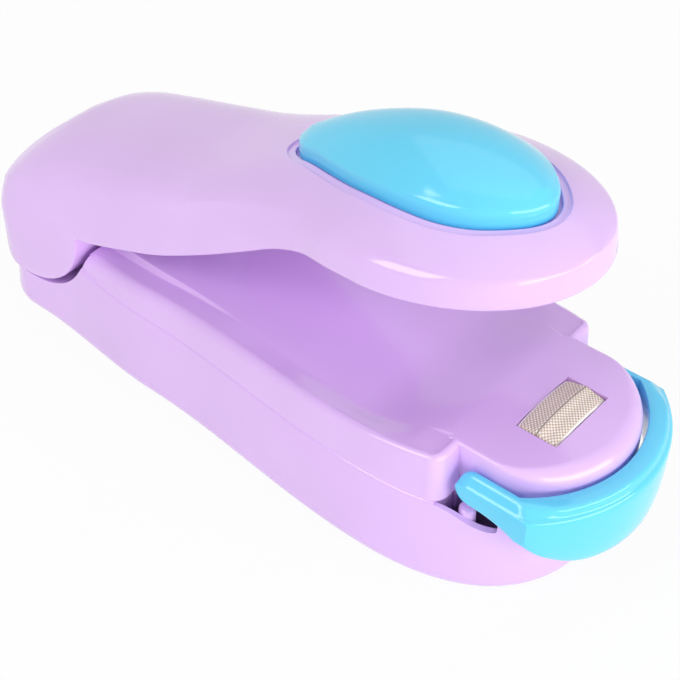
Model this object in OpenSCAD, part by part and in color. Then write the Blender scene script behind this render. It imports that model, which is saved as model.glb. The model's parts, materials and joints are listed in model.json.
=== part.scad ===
// Battery powered bag sealer for one hand: a hollow thumb lever over a two-part case,
// with a heating wire under cloth tape on the nose and a swinging safety clip round it.
// X points from the hinge to the nose, Y to the far side, Z up. The case stands on Z = 0.
// The lever is drawn open, as its spring holds it.

/* [Case] */
// Distance from the origin back to the rear face
case_rear = 59.9; // [58:0.1:61]
// Distance from the origin forward to the front of the lower case
case_front = 51.6; // [51:0.1:52]
// Width of the lower case at the hinge
rear_w = 31.6; // [31:0.2:34]
// Width of the lower case at its waist
waist_w = 36.4; // [36:0.2:38]
// Width of the lower case at its widest place
front_w = 43; // [42.5:0.1:44]
// Height of the seam between the lower and the upper case
seam_h = 16; // [15.8:0.1:16.4]
// How far each side leans in between the foot and the seam
side_lean = 0.9; // [0.7:0.1:1.1]
// Radius of the bottom edge
foot_r = 3; // [2:0.1:3.5]
// Wall thickness of the mouldings
wall = 1.8; // [1.6:0.1:1.9]
// Half of the groove along the seam
seam_groove = 0.3; // [0.2:0.05:0.4]

/* [Upper case] */
// Place of the front shoulders
shoulder_x = 38.5; // [38:0.1:38.8]
// Corner radius of the front shoulders
shoulder_r = 3.5; // [2.5:0.1:4]
// Height of the nose and of the shoulders
nose_h = 24.2; // [24:0.05:24.4]
// Height of the tray floor and of the raised deck under the lever
deck_h = 21.4; // [21.2:0.05:21.6]
// How much the side edges drop from the shoulders to the hinge
edge_drop = 4.9; // [4.5:0.1:5.2]
// Width of the raised deck
deck_w = 25.2; // [24:0.2:25.6]
// Width of the nose
nose_w = 28.4; // [28:0.1:28.6]
// Place of the tip of the nose
nose_tip = 54.7; // [54.3:0.1:54.8]

/* [Lever] */
// Place of the hinge pin along the case
hinge_x = -51; // [-51.4:0.1:-50.8]
// Height of the hinge pin
hinge_h = 23.5; // [23.3:0.1:23.8]
// Radius of the rounded hinge end of the lever
lobe_r = 14; // [13.6:0.1:14.2]
// Gap between the hinge end and the trough that it turns in
lobe_gap = 1.2; // [1:0.1:1.4]
// Width of the lever at the hinge
lever_rear_w = 33; // [32:0.2:33.4]
// Width of the lever at its waist
lever_waist_w = 30.6; // [30.4:0.1:31]
// Width of the spoon-shaped head
head_w = 37.2; // [36.6:0.2:38]
// Length of the elliptic head
head_l = 49.2; // [48.8:0.1:49.4]
// Place of the middle of the head
head_x = 22.5; // [22.3:0.1:22.7]
// Height of the rim round the head
rim_h = 4.2; // [3.8:0.1:4.6]
// How far the lever swings down to seal
close_deg = 13.5; // [13:0.1:13.6]

/* [Thumb pad] */
// Extra bulge of the pad over the shape of the lever
pad_crown = 3.2; // [2:0.1:3.5]
// Width of the shallow ledge round the pad
pad_ledge = 1.2; // [0.8:0.1:1.6]
// Depth of the ledge
ledge_depth = 0.45; // [0.3:0.05:0.6]
// Gap between the pad and the edge of its recess
pad_gap = 0.45; // [0.4:0.05:0.7]
// Depth of the recess
pad_depth = 1.2; // [1:0.1:1.3]
// How far the pad stands out of the lever
pad_proud = 1.8; // [1.5:0.1:2]

/* [Safety clip] */
// Place of the clip pivot along the case
clip_x = 42; // [41.8:0.1:42.2]
// Height of the clip pivot
clip_h = 18.8; // [18.7:0.05:18.9]
// Height of the clip arms
arm_h = 5.8; // [5.6:0.1:6]
// Thickness of the clip arms
arm_t = 2.3; // [2:0.1:2.5]
// Gap between the nose and the clip arms
clip_gap = 0.7; // [0.5:0.05:0.8]
// Thickness of the band round the nose
band_t = 3.6; // [3.2:0.1:4]
// Depth of the front skirt of the band
skirt_h = 12; // [11:0.2:12.4]
// Radius of the pivot bosses inside the arms
boss_r = 1.5; // [1.3:0.1:1.7]

/* [Power] */
// Diameter of a cell
cell_d = 14.5; // [14:0.1:14.5]
// Length of a cell with its button
cell_l = 50.5; // [49.5:0.1:50.5]
// Gap between the two cells
cell_gap = 0.5; // [0.3:0.1:0.8]
// Thickness of the battery door
door_t = 1.4; // [1.2:0.1:1.5]
// Width of the battery door
door_w = 27.6; // [27:0.2:28]
// Clearance round the battery door
door_gap = 0.25; // [0.2:0.05:0.4]

/* [Heater] */
// Place of the heating wire
wire_x = 44.1; // [43.9:0.1:44.3]
// Width of the cloth tape
tape_w = 6.6; // [6.2:0.1:6.8]
// Thickness of the cloth tape
tape_t = 0.25; // [0.2:0.05:0.3]
// Length of the tape across the nose
tape_l = 12.4; // [12:0.2:13]
// How far the ridge of the tape stands above the nose
ridge_h = 1.1; // [1:0.05:1.2]
// Diameter of the heating wire
wire_d = 0.4; // [0.3:0.05:0.5]

/* [Hidden] */

// Colours of the mouldings and the metal parts
lilac = [0.87, 0.75, 0.95];
sky = [0.42, 0.85, 1];
steel = [0.72, 0.73, 0.75];
brass = [0.8, 0.65, 0.3];

// Numbers of steps along the lofted skins
corner_steps = 5;
side_steps = 14;
tip_steps = 9;
fillet_steps = 3;

// Small helpers for curves
function mix(a, b, t) = a + (b - a) * t;
function share(a, b, x) = min(1, max(0, (x - a) / (b - a)));
function ease(a, b, x) = let (t = share(a, b, x)) t * t * (3 - 2 * t);
function steps(n) = [for (k = [0 : n]) k / n];
function backwards(list) = [for (i = [len(list) - 1 : -1 : 0]) list[i]];

// Smooth curve through a list of [x, value] knots
function slope(knots, i) =
  let (a = max(0, i - 1), b = min(len(knots) - 1, i + 1))
  (knots[b][1] - knots[a][1]) / (knots[b][0] - knots[a][0]);
function piece(knots, i, x) =
  let (w = knots[i + 1][0] - knots[i][0], t = share(knots[i][0], knots[i + 1][0], x))
  (2 * t ^ 3 - 3 * t ^ 2 + 1) * knots[i][1] + (t ^ 3 - 2 * t ^ 2 + t) * w * slope(knots, i)
  + (3 * t ^ 2 - 2 * t ^ 3) * knots[i + 1][1] + (t ^ 3 - t ^ 2) * w * slope(knots, i + 1);
function curve(knots, x, i = 0) =
  i >= len(knots) - 2 || x <= knots[i + 1][0] ? piece(knots, i, x) : curve(knots, x, i + 1);

// Half outlines run from the rear centre over the +Y side to the front centre
function mirrored(p) = [p[0], -p[1]];
function across(half, i) =
  let (n = len(half), a = i == 0 ? mirrored(half[1]) : half[i - 1])
  let (b = i == n - 1 ? mirrored(half[n - 2]) : half[i + 1])
  (b - a) / norm(b - a);
function inset(half, d) =
  [for (i = [0 : len(half) - 1]) let (t = across(half, i)) half[i] + d * [t[1], -t[0]]];
function whole(half) =
  concat(half, [for (i = [len(half) - 2 : -1 : 1]) mirrored(half[i])]);
function level(half, z) = [for (p = whole(half)) [p[0], p[1], z]];
function flat_end(x, r, y, crown, out) = concat(
  [for (t = steps(3)) [x - out * crown * (t * (y - r) / y) ^ 2, t * (y - r)]],
  [for (k = [1 : corner_steps]) let (a = 90 * k / corner_steps)
    [x - out * (crown * ((y - r) / y) ^ 2 + r * (1 - cos(a))), y - r + r * sin(a)]]);
function round_tip(x, l, y, p) =
  [for (k = [1 : tip_steps]) let (a = 90 * k / tip_steps)
    [x - l + l * sin(a) ^ (2 / p), k == tip_steps ? 0 : y * cos(a) ^ (2 / p)]];

// Skin over a stack of rings that are alike on both sides of Y = 0
function cap(n, base, up) = [
  for (i = [0 : n / 2 - 1], k = [0, 1])
    let (a = base + i, b = base + i + 1, c = base + (n - i - 1) % n, d = base + (n - i) % n)
    let (tri = k == 0 ? [a, b, c] : [a, c, d])
    if (tri[0] != tri[2] && tri[1] != tri[2]) up ? tri : backwards(tri)];
module skin(rings) {
  n = len(rings[0]);
  m = len(rings);
  walls = [for (j = [0 : m - 2], i = [0 : n - 1], k = [0, 1])
    let (a = j * n + i, b = j * n + (i + 1) % n, c = a + n, d = b + n)
    k == 0 ? [a, b, d] : [a, d, c]];
  polyhedron(points = [for (r = rings) each r],
    faces = concat(walls, cap(n, (m - 1) * n, true), cap(n, 0, false)));
}

// Round wire along a list of points
function dir(path, i) =
  let (a = path[max(0, i - 1)], b = path[min(len(path) - 1, i + 1)]) (b - a) / norm(b - a);
function side_of(d) = let (s = cross(d, abs(d[2]) < 0.9 ? [0, 0, 1] : [0, 1, 0])) s / norm(s);
module wire(path, d, sides = 6) {
  n = sides;
  m = len(path);
  points = [for (i = [0 : m - 1], k = [0 : n - 1])
    let (t = dir(path, i), u = side_of(t), v = cross(t, u), a = 360 * k / n)
    path[i] + d / 2 * (cos(a) * u + sin(a) * v)];
  walls = [for (j = [0 : m - 2], i = [0 : n - 1], k = [0, 1])
    let (a = j * n + i, b = j * n + (i + 1) % n, c = a + n, e = b + n)
    k == 0 ? [a, e, b] : [a, c, e]];
  ends = [[for (i = [0 : n - 1]) i], [for (i = [n - 1 : -1 : 0]) (m - 1) * n + i]];
  polyhedron(points = points, faces = concat(walls, ends));
}
// Spring along Z with a closed coil at each end
function coil_z(t, h, d, dead) =
  t < dead ? d * t / dead :
  t > 1 - dead ? h - d * (1 - t) / dead :
  mix(d, h - d, share(dead, 1 - dead, t));
module coil(r0, r1, h, turns, d, per_turn = 10) {
  n = turns * per_turn;
  wire([for (k = [0 : n]) let (t = k / n, a = 360 * k / per_turn, r = mix(r0, r1, t))
    [r * cos(a), r * sin(a), d / 2 + coil_z(t, h - d, d, 1 / turns)]], d);
}

// Case outlines
waist_x = -21;
wide_x = 23.4;
rear_corner_r = 8;
rear_crown = 1;
front_p = 2.4;
hinge_w_x = -50;
tray_rear = -40;
top_lean = 0.5;
function case_y(x) =
  x < waist_x ? mix(rear_w, waist_w, ease(hinge_w_x, waist_x, x)) / 2 :
  x < wide_x ? mix(waist_w, front_w, ease(waist_x, wide_x, x)) / 2 :
  front_w / 2 * (1 - share(wide_x, case_front, x) ^ front_p) ^ (1 / front_p);
side_x0 = -case_rear + rear_crown + rear_corner_r;
function side_run(x0, x1, n) = [for (k = [1 : n]) let (x = mix(x0, x1, k / n)) [x, case_y(x)]];
lower_half = concat(
  flat_end(-case_rear, rear_corner_r, rear_w / 2, rear_crown, -1),
  side_run(side_x0, wide_x, side_steps),
  round_tip(case_front, case_front - wide_x, front_w / 2, front_p));
corner_x = shoulder_x - shoulder_r;
upper_half = concat(
  [for (t = steps(2)) [tray_rear - 0.4 * (1 - t ^ 2), t * case_y(tray_rear)]],
  side_run(tray_rear, wide_x, side_steps - 2),
  [for (k = [1 : 3]) let (x = mix(wide_x, corner_x, k / 4)) [x, case_y(x)]],
  backwards(flat_end(shoulder_x, shoulder_r, case_y(corner_x), 0.15, 1)));

// Rounded trough that the hinge end of the lever turns in
trough_r = lobe_r + lobe_gap;
module hinge_roll(r) {
  translate([hinge_x, 0, hinge_h]) rotate([90, 0, 0])
    cylinder(r = r, h = 2 * front_w, center = true, $fn = 96);
}

// Nose outline and its rounded skin
nose_bend = 42.5;
nose_back = 35.6;
nose_foot = 11.5;
function nose_half(d) = let (w = nose_w / 2 - d, tip = nose_tip - d) concat(
  [for (t = steps(2)) [nose_back + d - 0.2 * (1 - t ^ 2), t * w]],
  [for (k = [1 : 2]) [mix(nose_back + d, nose_bend, k / 2), w]],
  round_tip(tip, tip - nose_bend, w, 2));
nose_ring = whole(nose_half(0));
function nose_r(x) = mix(0.7, 2.6, ease(nose_bend, nose_tip - 1.5, x));
function nose_fillet(a) = [for (i = [0 : len(nose_ring) - 1])
  let (r = nose_r(nose_ring[i][0]), p = whole(nose_half(r * (1 - cos(a))))[i])
  [p[0], p[1], nose_h - r * (1 - sin(a))]];
nose_rings = concat([level(nose_half(0), nose_foot)],
  [for (k = [0 : 4]) nose_fillet(90 * k / 4)]);

// Battery bay
bay_front = 19.6;
plate_t = 0.4;
spring_l = 3.6;
bulkhead_t = 1.4;
cell_y = (cell_d + cell_gap) / 2;
cell_z = 2 + cell_d / 2;
bay_rear = bay_front - cell_l - spring_l - 2 * plate_t;
floor_t = 2.4;
door_x0 = bay_rear - 1.6;
door_x1 = bay_front + 0.4;
door_z = 0.3;
door_top = door_z + door_t;
door_travel = 6;
tab_z = 0.95;
tab_w = 0.8;
tab_l = 6;
tab_xs = [for (i = [0 : 2]) door_x0 + 8 + 18 * i];
window_w = 26;

// Screws that hold the two halves of the case together
screw_x = 28;
screw_y = 13;
screw_r = 1.1;

// Deck and pockets round the nose in the lower case
front_deck = 15.6;
deck_t = 1.6;
nose_gap = 0.25;
pocket_x0 = 36.6;
pocket_x1 = 46.2;
pocket_y = 17.4;
pocket_z = 9;
pocket_rim = 14.9;

// Hinge ears, pin and the ribs of the lever between the ears
ear_y = 8.6;
ear_t = 2.4;
ear_r = 3.4;
pin_r = 1.25;
pin_fit = 0.05;
rib_y = 5.4;
rib_t = 3;

module lower_case() color(lilac) difference() {
  union() {
    difference() {
      skin(concat(
        [for (k = [0 : fillet_steps]) let (a = 90 * k / fillet_steps)
          level(inset(lower_half, foot_r * (1 - sin(a))), foot_r * (1 - cos(a)))],
        [level(inset(lower_half, side_lean), seam_h - seam_groove),
         level(inset(lower_half, side_lean + seam_groove), seam_h)]));
      difference() {
        lower_cavity();
        hinge_roll(trough_r + wall);
        pocket_blocks();
      }
    }
    intersection() {
      lower_bosses();
      linear_extrude(seam_h) polygon(whole(inset(lower_half, wall)));
    }
  }
  difference() {
    hinge_roll(trough_r);
    hinge_ears();
  }
  translate([hinge_x, 0, hinge_h]) rotate([90, 0, 0])
    cylinder(r = pin_r, h = front_w, center = true, $fn = 32);
  translate([shoulder_x + 0.3, -front_w, front_deck]) cube([20, 2 * front_w, 2]);
  translate([0, 0, nose_foot - 0.3])
    linear_extrude(seam_h - nose_foot + 1) polygon(whole(inset(nose_half(0), -nose_gap)));
  door_slideway();
  clip_pockets();
  for (s = [-1, 1]) translate([screw_x, s * screw_y, -1]) {
    cylinder(r = screw_r + 0.2, h = seam_h + 2, $fn = 32);
    cylinder(r = 2.3, h = 4.2, $fn = 32);
  }
}
module lower_cavity() {
  difference() {
    skin([
      level(inset(lower_half, foot_r), floor_t),
      level(inset(lower_half, wall), foot_r + 0.8),
      level(inset(lower_half, wall + side_lean), seam_h + 1)]);
    translate([shoulder_x - 1, -front_w, front_deck - deck_t]) cube([20, 2 * front_w, 5]);
  }
}
module lower_bosses() {
  for (x = [bay_front, bay_rear - bulkhead_t])
    translate([x, -2 * cell_y, floor_t - 0.2]) cube([bulkhead_t, 4 * cell_y, 10.6]);
  for (s = [-1, 1]) translate([screw_x, s * screw_y, 1])
    cylinder(r = 3, h = seam_h - 1.2, $fn = 32);
}
module hinge_ears() {
  for (s = [-1, 1]) {
    translate([hinge_x, s * ear_y, hinge_h]) rotate([90, 0, 0])
      cylinder(r = ear_r, h = ear_t, center = true, $fn = 48);
    translate([hinge_x - ear_r, s * ear_y - ear_t / 2, 0]) cube([2 * ear_r, ear_t, hinge_h]);
  }
}
// Recess, grooves and windows under the case for the battery door
module door_slideway() {
  x0 = door_x0 - door_travel - door_gap;
  run = door_x1 + door_gap - x0;
  half = door_w / 2 + door_gap;
  top = door_top + 0.15;
  translate([x0, -half, -1]) cube([run, 2 * half, 1 + top]);
  translate([x0, -half - tab_w, tab_z - 0.2])
    cube([run, 2 * (half + tab_w), top - tab_z + 0.2]);
  for (x = tab_xs) translate([x - door_travel - 0.4, -half - tab_w, -1])
    cube([tab_l + 0.8, 2 * (half + tab_w), 1 + top]);
  translate([bay_rear, -window_w / 2, 0]) cube([bay_front - bay_rear, window_w, floor_t + 1]);
}
module pocket_blocks() {
  for (s = [-1, 1]) translate([pocket_x0 - 1.2, s > 0 ? nose_w / 2 : -front_w, pocket_z - 1.4])
    cube([pocket_x1 - pocket_x0 + 2.4, front_w - nose_w / 2, seam_h]);
}
notch = [[pocket_x0, seam_h + 1], [pocket_x0, 15.8], [39.2, 14.9], [40.6, 13.8], [42.4, 12.7],
  [44.2, 12.3], [44.8, 13.2], [pocket_x1, 14.6], [pocket_x1, seam_h + 1]];
module clip_pockets() {
  deep = pocket_y - nose_w / 2 + 0.2;
  for (s = [-1, 1]) {
    difference() {
      intersection() {
        translate([pocket_x0, s > 0 ? nose_w / 2 - 0.2 : -pocket_y, pocket_z])
          cube([pocket_x1 - pocket_x0, deep, seam_h]);
        linear_extrude(seam_h + 1) polygon(whole(inset(lower_half, side_lean + 1.1)));
      }
      translate([clip_x - 1.5, s * (nose_w / 2 + 1.8), 0])
        cylinder(r = 1.5, h = pocket_rim + 0.3, $fn = 32);
    }
    translate([0, s > 0 ? front_w : 0.2 - nose_w / 2, 0]) rotate([90, 0, 0])
      linear_extrude(front_w - nose_w / 2 + 0.2) polygon(notch);
  }
}

// Height of the side edges and of the floor of the tray
function edge_h(x) = nose_h - edge_drop * share(shoulder_x, hinge_x + lobe_r, x);
function edge_r(x) = mix(2.6, 1, ease(-30, 30, x));
ramp_x0 = 22;
ramp_x1 = shoulder_x - 1;
function floor_h(x) = mix(deck_h, nose_h, ease(ramp_x0, ramp_x1, x));
function strip_h(x) = min(edge_h(x), floor_h(x));
// Rings of the tray: side wall, rounded edge, outer strip, step and floor
function tray_edge(d, a, drop) = [for (p = whole(inset(upper_half, d)))
  [p[0], p[1], edge_h(p[0]) - drop - edge_r(p[0]) * (1 - sin(a))]];
function tray_inner(d, s, drop) = [for (p = whole(inset(upper_half, d)))
  let (step = deck_w / 2 / 17.2, x = p[0] * mix(0.97, 1, s))
  let (z = s > step + 0.03 ? strip_h(x) : floor_h(x))
  [x, p[1] * s, z - drop]];
lean = side_lean + top_lean;
function tray_fillet(a) = [for (i = [0 : len(whole(upper_half)) - 1])
  let (x = whole(upper_half)[i][0], r = edge_r(x))
  let (p = whole(inset(upper_half, lean + r * (1 - cos(a))))[i])
  [p[0], p[1], edge_h(x) - r * (1 - sin(a))]];

module upper_case() color(lilac) difference() {
  union() {
    difference() {
      skin(concat(
        [level(inset(upper_half, side_lean + seam_groove), seam_h),
         level(inset(upper_half, side_lean), seam_h + seam_groove)],
        [for (k = [0 : fillet_steps]) tray_fillet(90 * k / fillet_steps)],
        [for (s = [0.78, 0.735, 0.3]) tray_inner(lean + 1, s, 0)]));
      difference() {
        tray_cavity();
        hinge_roll(trough_r + wall);
      }
    }
    difference() {
      skin(nose_rings);
      translate([0, 0, nose_foot - 1])
        linear_extrude(nose_h - wall - nose_foot + 1) polygon(whole(nose_half(wall)));
    }
    upper_bosses();
  }
  hinge_roll(trough_r);
  // Passage from the tray to the nose
  translate([nose_back - 2, -11, 0]) cube([6, 22, 20]);
  // Window for the switch post of the lever
  translate([post_x - 3.2, -post_w / 2 - 0.5, deck_h - 3]) cube([6, post_w + 1, 4]);
  translate([blade_root + clamp_l / 2, 0, 0]) cylinder(r = 0.7, h = blade_z + 1.6, $fn = 24);
  // Slot for the heater
  translate([slot_x0, -slot_w / 2, nose_h - 3]) cube([slot_x1 - slot_x0, slot_w, 4]);
  // Bearings of the clip
  translate([clip_x, 0, clip_h]) rotate([90, 0, 0])
    cylinder(r = boss_r + pin_fit, h = front_w, center = true, $fn = 32);
  for (s = [-1, 1]) translate([screw_x, s * screw_y, 0])
    cylinder(r = screw_r, h = seam_h + 1.4, $fn = 32);
  for (s = [-1, 1]) translate([wire_x, s * bracket_y, 0])
    cylinder(r = 0.8, h = nose_h - 3, $fn = 24);
}
module tray_cavity() {
  skin([
    level(inset(upper_half, side_lean + wall), seam_h - 1),
    tray_edge(lean + wall, 40, wall),
    tray_inner(lean + wall + 1, 0.86, wall),
    tray_inner(lean + wall + 1, 0.735, wall),
    tray_inner(lean + wall + 1, 0.3, wall)]);
}
module upper_bosses() {
  intersection() {
    for (s = [-1, 1]) translate([screw_x, s * screw_y, seam_h])
      cylinder(r = 3, h = deck_h - wall + 0.8 - seam_h, $fn = 32);
    translate([0, 0, seam_h]) linear_extrude(nose_h - seam_h) polygon(whole(inset(upper_half, lean + 1)));
  }
  for (s = [-1, 1]) translate([wire_x, s * bracket_y, bracket_top])
    cylinder(r = 1.9, h = nose_h - 1 - bracket_top, $fn = 32);
  translate([blade_root - 0.2, -2.5, blade_z + blade_t])
    cube([clamp_l + 0.4, 5, deck_h - 1 - blade_z]);
  translate([spring_x, 0, deck_h - 0.5]) cylinder(r = 1.7, h = 1.8, $fn = 32);
}

// Heater in the nose
slot_x0 = 40.6;
slot_x1 = 47.7;
slot_w = tape_l + 0.5;
block_l = 11.4;
bracket_y = 10.2;
bracket_top = nose_h - 4.7;
bracket_t = 1.2;
term_y = 6.6;
block_top = nose_h + ridge_h - tape_t - wire_d;
function ridge(drop) = [
  [wire_x - tape_w / 2, nose_h + 0.45 - drop],
  [wire_x - 1.3, nose_h + 0.9 - drop],
  [wire_x - 0.3, nose_h + ridge_h - drop],
  [wire_x + 0.3, nose_h + ridge_h - drop],
  [wire_x + 1.3, nose_h + 0.9 - drop],
  [wire_x + tape_w / 2, nose_h + 0.45 - drop]];
module heater_block() color([0.9, 0.88, 0.82]) difference() {
  translate([0, block_l / 2, 0]) rotate([90, 0, 0]) linear_extrude(block_l) polygon(concat(
    [[slot_x0 + 0.8, bracket_top], [slot_x0 + 0.8, nose_h - 0.1]],
    [[wire_x - 0.7, block_top], [wire_x + 0.7, block_top]],
    [[slot_x1 - 0.4, nose_h - 0.1], [slot_x1 - 0.4, bracket_top]]));
  for (s = [-1, 1]) translate([wire_x, s * block_l / 2, bracket_top - 1])
    cylinder(r = 0.5, h = 8, $fn = 24);
}
module heating_wire() color([0.35, 0.33, 0.33]) {
  e = block_l / 2;
  z = block_top + wire_d / 2;
  wire([[wire_x, -e, bracket_top + 0.4], [wire_x, -e, z - 0.2], [wire_x, 0.2 - e, z],
    [wire_x, e - 0.2, z], [wire_x, e, z - 0.2], [wire_x, e, bracket_top + 0.4]], wire_d, 8);
}
module wire_terminals() color(brass) for (s = [-1, 1]) difference() {
  translate([wire_x - 1.4, s * term_y - 0.7, bracket_top]) cube([2.8, 1.4, 1.6]);
  translate([wire_x - 1, s * term_y, bracket_top + 0.9]) rotate([0, -90, 0])
    cylinder(r = 0.5, h = 3, $fn = 24);
}
module sealing_tape() color([0.93, 0.88, 0.8]) {
  translate([0, tape_l / 2, 0]) rotate([90, 0, 0]) linear_extrude(tape_l)
    polygon(concat(ridge(0), backwards(ridge(tape_t))));
  for (s = [-1, 1]) translate([wire_x - tape_w / 2, s > 0 ? tape_l / 2 - tape_t : -tape_l / 2, 0])
    translate([0, 0, nose_h - 2.2]) cube([tape_w, tape_t, 2.5]);
}
module heater_bracket() color(steel) difference() {
  intersection() {
    translate([slot_x0 - 0.6, -bracket_y - 1.8, bracket_top - bracket_t])
      cube([slot_x1 - slot_x0 + 1.2, 2 * bracket_y + 3.6, bracket_t]);
    linear_extrude(nose_h) polygon(whole(nose_half(wall + 0.25)));
  }
  for (s = [-1, 1]) translate([wire_x, s * bracket_y, 0]) cylinder(r = 1, h = 30, $fn = 24);
}
module bracket_screws() color(steel) for (s = [-1, 1]) translate([wire_x, s * bracket_y, 0]) {
  difference() {
    translate([0, 0, bracket_top - bracket_t - 1.1]) cylinder(r = 1.7, h = 1.1, $fn = 32);
    translate([-1.2, -0.2, bracket_top - bracket_t - 1.6]) cube([2.4, 0.4, 1]);
  }
  translate([0, 0, bracket_top - bracket_t]) cylinder(r = 0.8, h = 2.8, $fn = 24);
}

// Cells, contacts and the battery door
module cell(tip) {
  body = cell_l - 1;
  rotate([0, 90, 0]) {
    cylinder(d = cell_d, h = body, $fn = 64);
    translate([0, 0, body]) cylinder(r = 2.7, h = 1, $fn = 32);
  }
}
module near_cell() color([0.25, 0.28, 0.3])
  translate([bay_rear + plate_t + spring_l, -cell_y, cell_z]) cell();
module far_cell() color([0.25, 0.28, 0.3])
  translate([bay_front - plate_t - spring_l, cell_y, cell_z]) rotate(180) cell();
module near_cell_spring() color(steel)
  translate([bay_rear + plate_t, -cell_y, cell_z]) rotate([0, 90, 0]) coil(4, 2.4, spring_l, 3, 0.6);
module far_cell_spring() color(steel)
  translate([bay_front - plate_t, cell_y, cell_z]) rotate([0, -90, 0]) coil(4, 2.4, spring_l, 3, 0.6);
module rear_contact_plate() color(steel) translate([bay_rear, -cell_y - 5, cell_z - 5])
  cube([plate_t, 2 * cell_y + 10, 8.2]);
module front_contact_plates() color(steel) for (s = [-1, 1])
  translate([bay_front - plate_t, s * cell_y - 5, cell_z - 5]) cube([plate_t, 10, 10.4]);
module battery_door() color(lilac) difference() {
  union() {
    translate([door_x0, -door_w / 2, door_z]) cube([door_x1 - door_x0, door_w, door_t]);
    for (x = tab_xs) translate([x, -door_w / 2 - tab_w + 0.1, tab_z])
      cube([tab_l, door_w + 2 * tab_w - 0.2, door_top - tab_z]);
  }
  for (k = [0 : 4]) translate([door_x0 + 3 + 1.6 * k, -6, door_z - 0.1]) cube([0.7, 12, 0.5]);
}

// Switch under the deck: the post of the lever bends the upper blade on to the lower one
post_x = -31;
post_w = 2;
blade_t = 0.3;
blade_z = deck_h - 2.5;
post_z = blade_z + blade_t + 0.2;
blade_w = 2.2;
blade_root = -15;
blade_tip = -33.6;
clamp_l = 4;
module switch_upper_blade() color(brass)
  translate([blade_tip, -blade_w / 2, blade_z]) cube([blade_root - 0.1 - blade_tip, blade_w, blade_t]);
module switch_clamp() color(brass) {
  translate([blade_root, -blade_w / 2, blade_z]) cube([clamp_l, blade_w, blade_t]);
  translate([blade_root + clamp_l / 2, 0, blade_z - 0.4]) {
    cylinder(r = 1.1, h = 0.5, $fn = 24);
    cylinder(r = 0.7, h = 2, $fn = 24);
  }
}
module switch_lower_blade() color(brass) {
  z = cell_z + cell_d / 2 - 3.3;
  translate([blade_tip - 1.3, -blade_w / 2, z]) cube([3.6, blade_w, blade_t]);
  translate([blade_tip - 1.3, -blade_w / 2, z]) cube([blade_t, blade_w, 3]);
}

// Insulated leads: two run in the valley between the cells
lead_d = 1.2;
valley_y = cell_y - 4.9;
valley_z = cell_z + 6.35;
under_deck = deck_h - 4.2;
under_nose = bracket_top - 2.7;
module supply_lead() color([0.75, 0.15, 0.12]) wire([
  [bay_front - 0.6, -cell_y, cell_z + 5.95], [bay_front + 3, 1.5 - cell_y, under_deck],
  [nose_back - 1.6, 1.6 - term_y, under_deck], [wire_x - 5, -term_y, under_nose],
  [wire_x - 2.4, -term_y, under_nose + 0.5]], lead_d, 8);
module return_lead() color([0.1, 0.1, 0.12]) wire([
  [bay_front - 0.2, cell_y, cell_z + 5.95], [bay_front - 1, valley_y + 0.8, valley_z + 0.3],
  [bay_front - 6, valley_y, valley_z], [blade_tip + 7, valley_y, valley_z],
  [blade_tip + 0.6, blade_w / 2 + 0.6, valley_z]], lead_d, 8);
module switch_lead() color([0.9, 0.9, 0.92]) wire([
  [blade_root + clamp_l, -2.5, blade_z - 1.1], [blade_root + 8, -valley_y, valley_z],
  [bay_front - 2, -valley_y, valley_z], [screw_x + 2, term_y - 0.6, under_deck],
  [wire_x - 5, term_y, under_nose], [wire_x - 2.4, term_y, under_nose + 0.5]], lead_d, 8);
module case_screws() color(steel) for (s = [-1, 1]) translate([screw_x, s * screw_y, 0]) {
  difference() {
    translate([0, 0, 1]) cylinder(r = 2, h = 2.2, $fn = 32);
    for (a = [0, 90]) rotate(a) translate([-1.4, -0.25, 0]) cube([2.8, 0.5, 1.8]);
  }
  translate([0, 0, 3.2]) cylinder(r = screw_r, h = seam_h - 2.4, $fn = 32);
}
module hinge_pin() color(steel) translate([hinge_x, 0, hinge_h]) rotate([90, 0, 0])
  cylinder(r = pin_r, h = 2 * ear_y + ear_t + 0.6, center = true, $fn = 32);

// Lever outline seen from above
lever_corner_r = 7;
lever_w_knots = [[-53, lever_rear_w / 2], [-44, lever_rear_w / 2], [-30, lever_rear_w / 2 - 0.15],
  [-18, lever_waist_w / 2 + 0.5], [-7, lever_waist_w / 2], [3, lever_waist_w / 2 + 0.2],
  [10, head_w / 2 - 2.4], [16, head_w / 2 - 0.75], [head_x, head_w / 2]];
head_tip = head_x + head_l / 2;
function lever_y(x) = x < head_x ? curve(lever_w_knots, x)
  : head_w / 2 * sqrt(max(0, 1 - (2 * (x - head_x) / head_l) ^ 2));
lever_half = concat(
  flat_end(-case_rear, lever_corner_r, lever_rear_w / 2, rear_crown, -1),
  [for (x = [-50, -47, -44, -41, -39, -37.8, -37.1, -36]) [x, lever_y(x)]],
  [for (k = [1 : 15]) let (x = mix(-36, head_x, k / 15)) [x, lever_y(x)]],
  round_tip(head_tip, head_l / 2, head_w / 2, 2));
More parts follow.
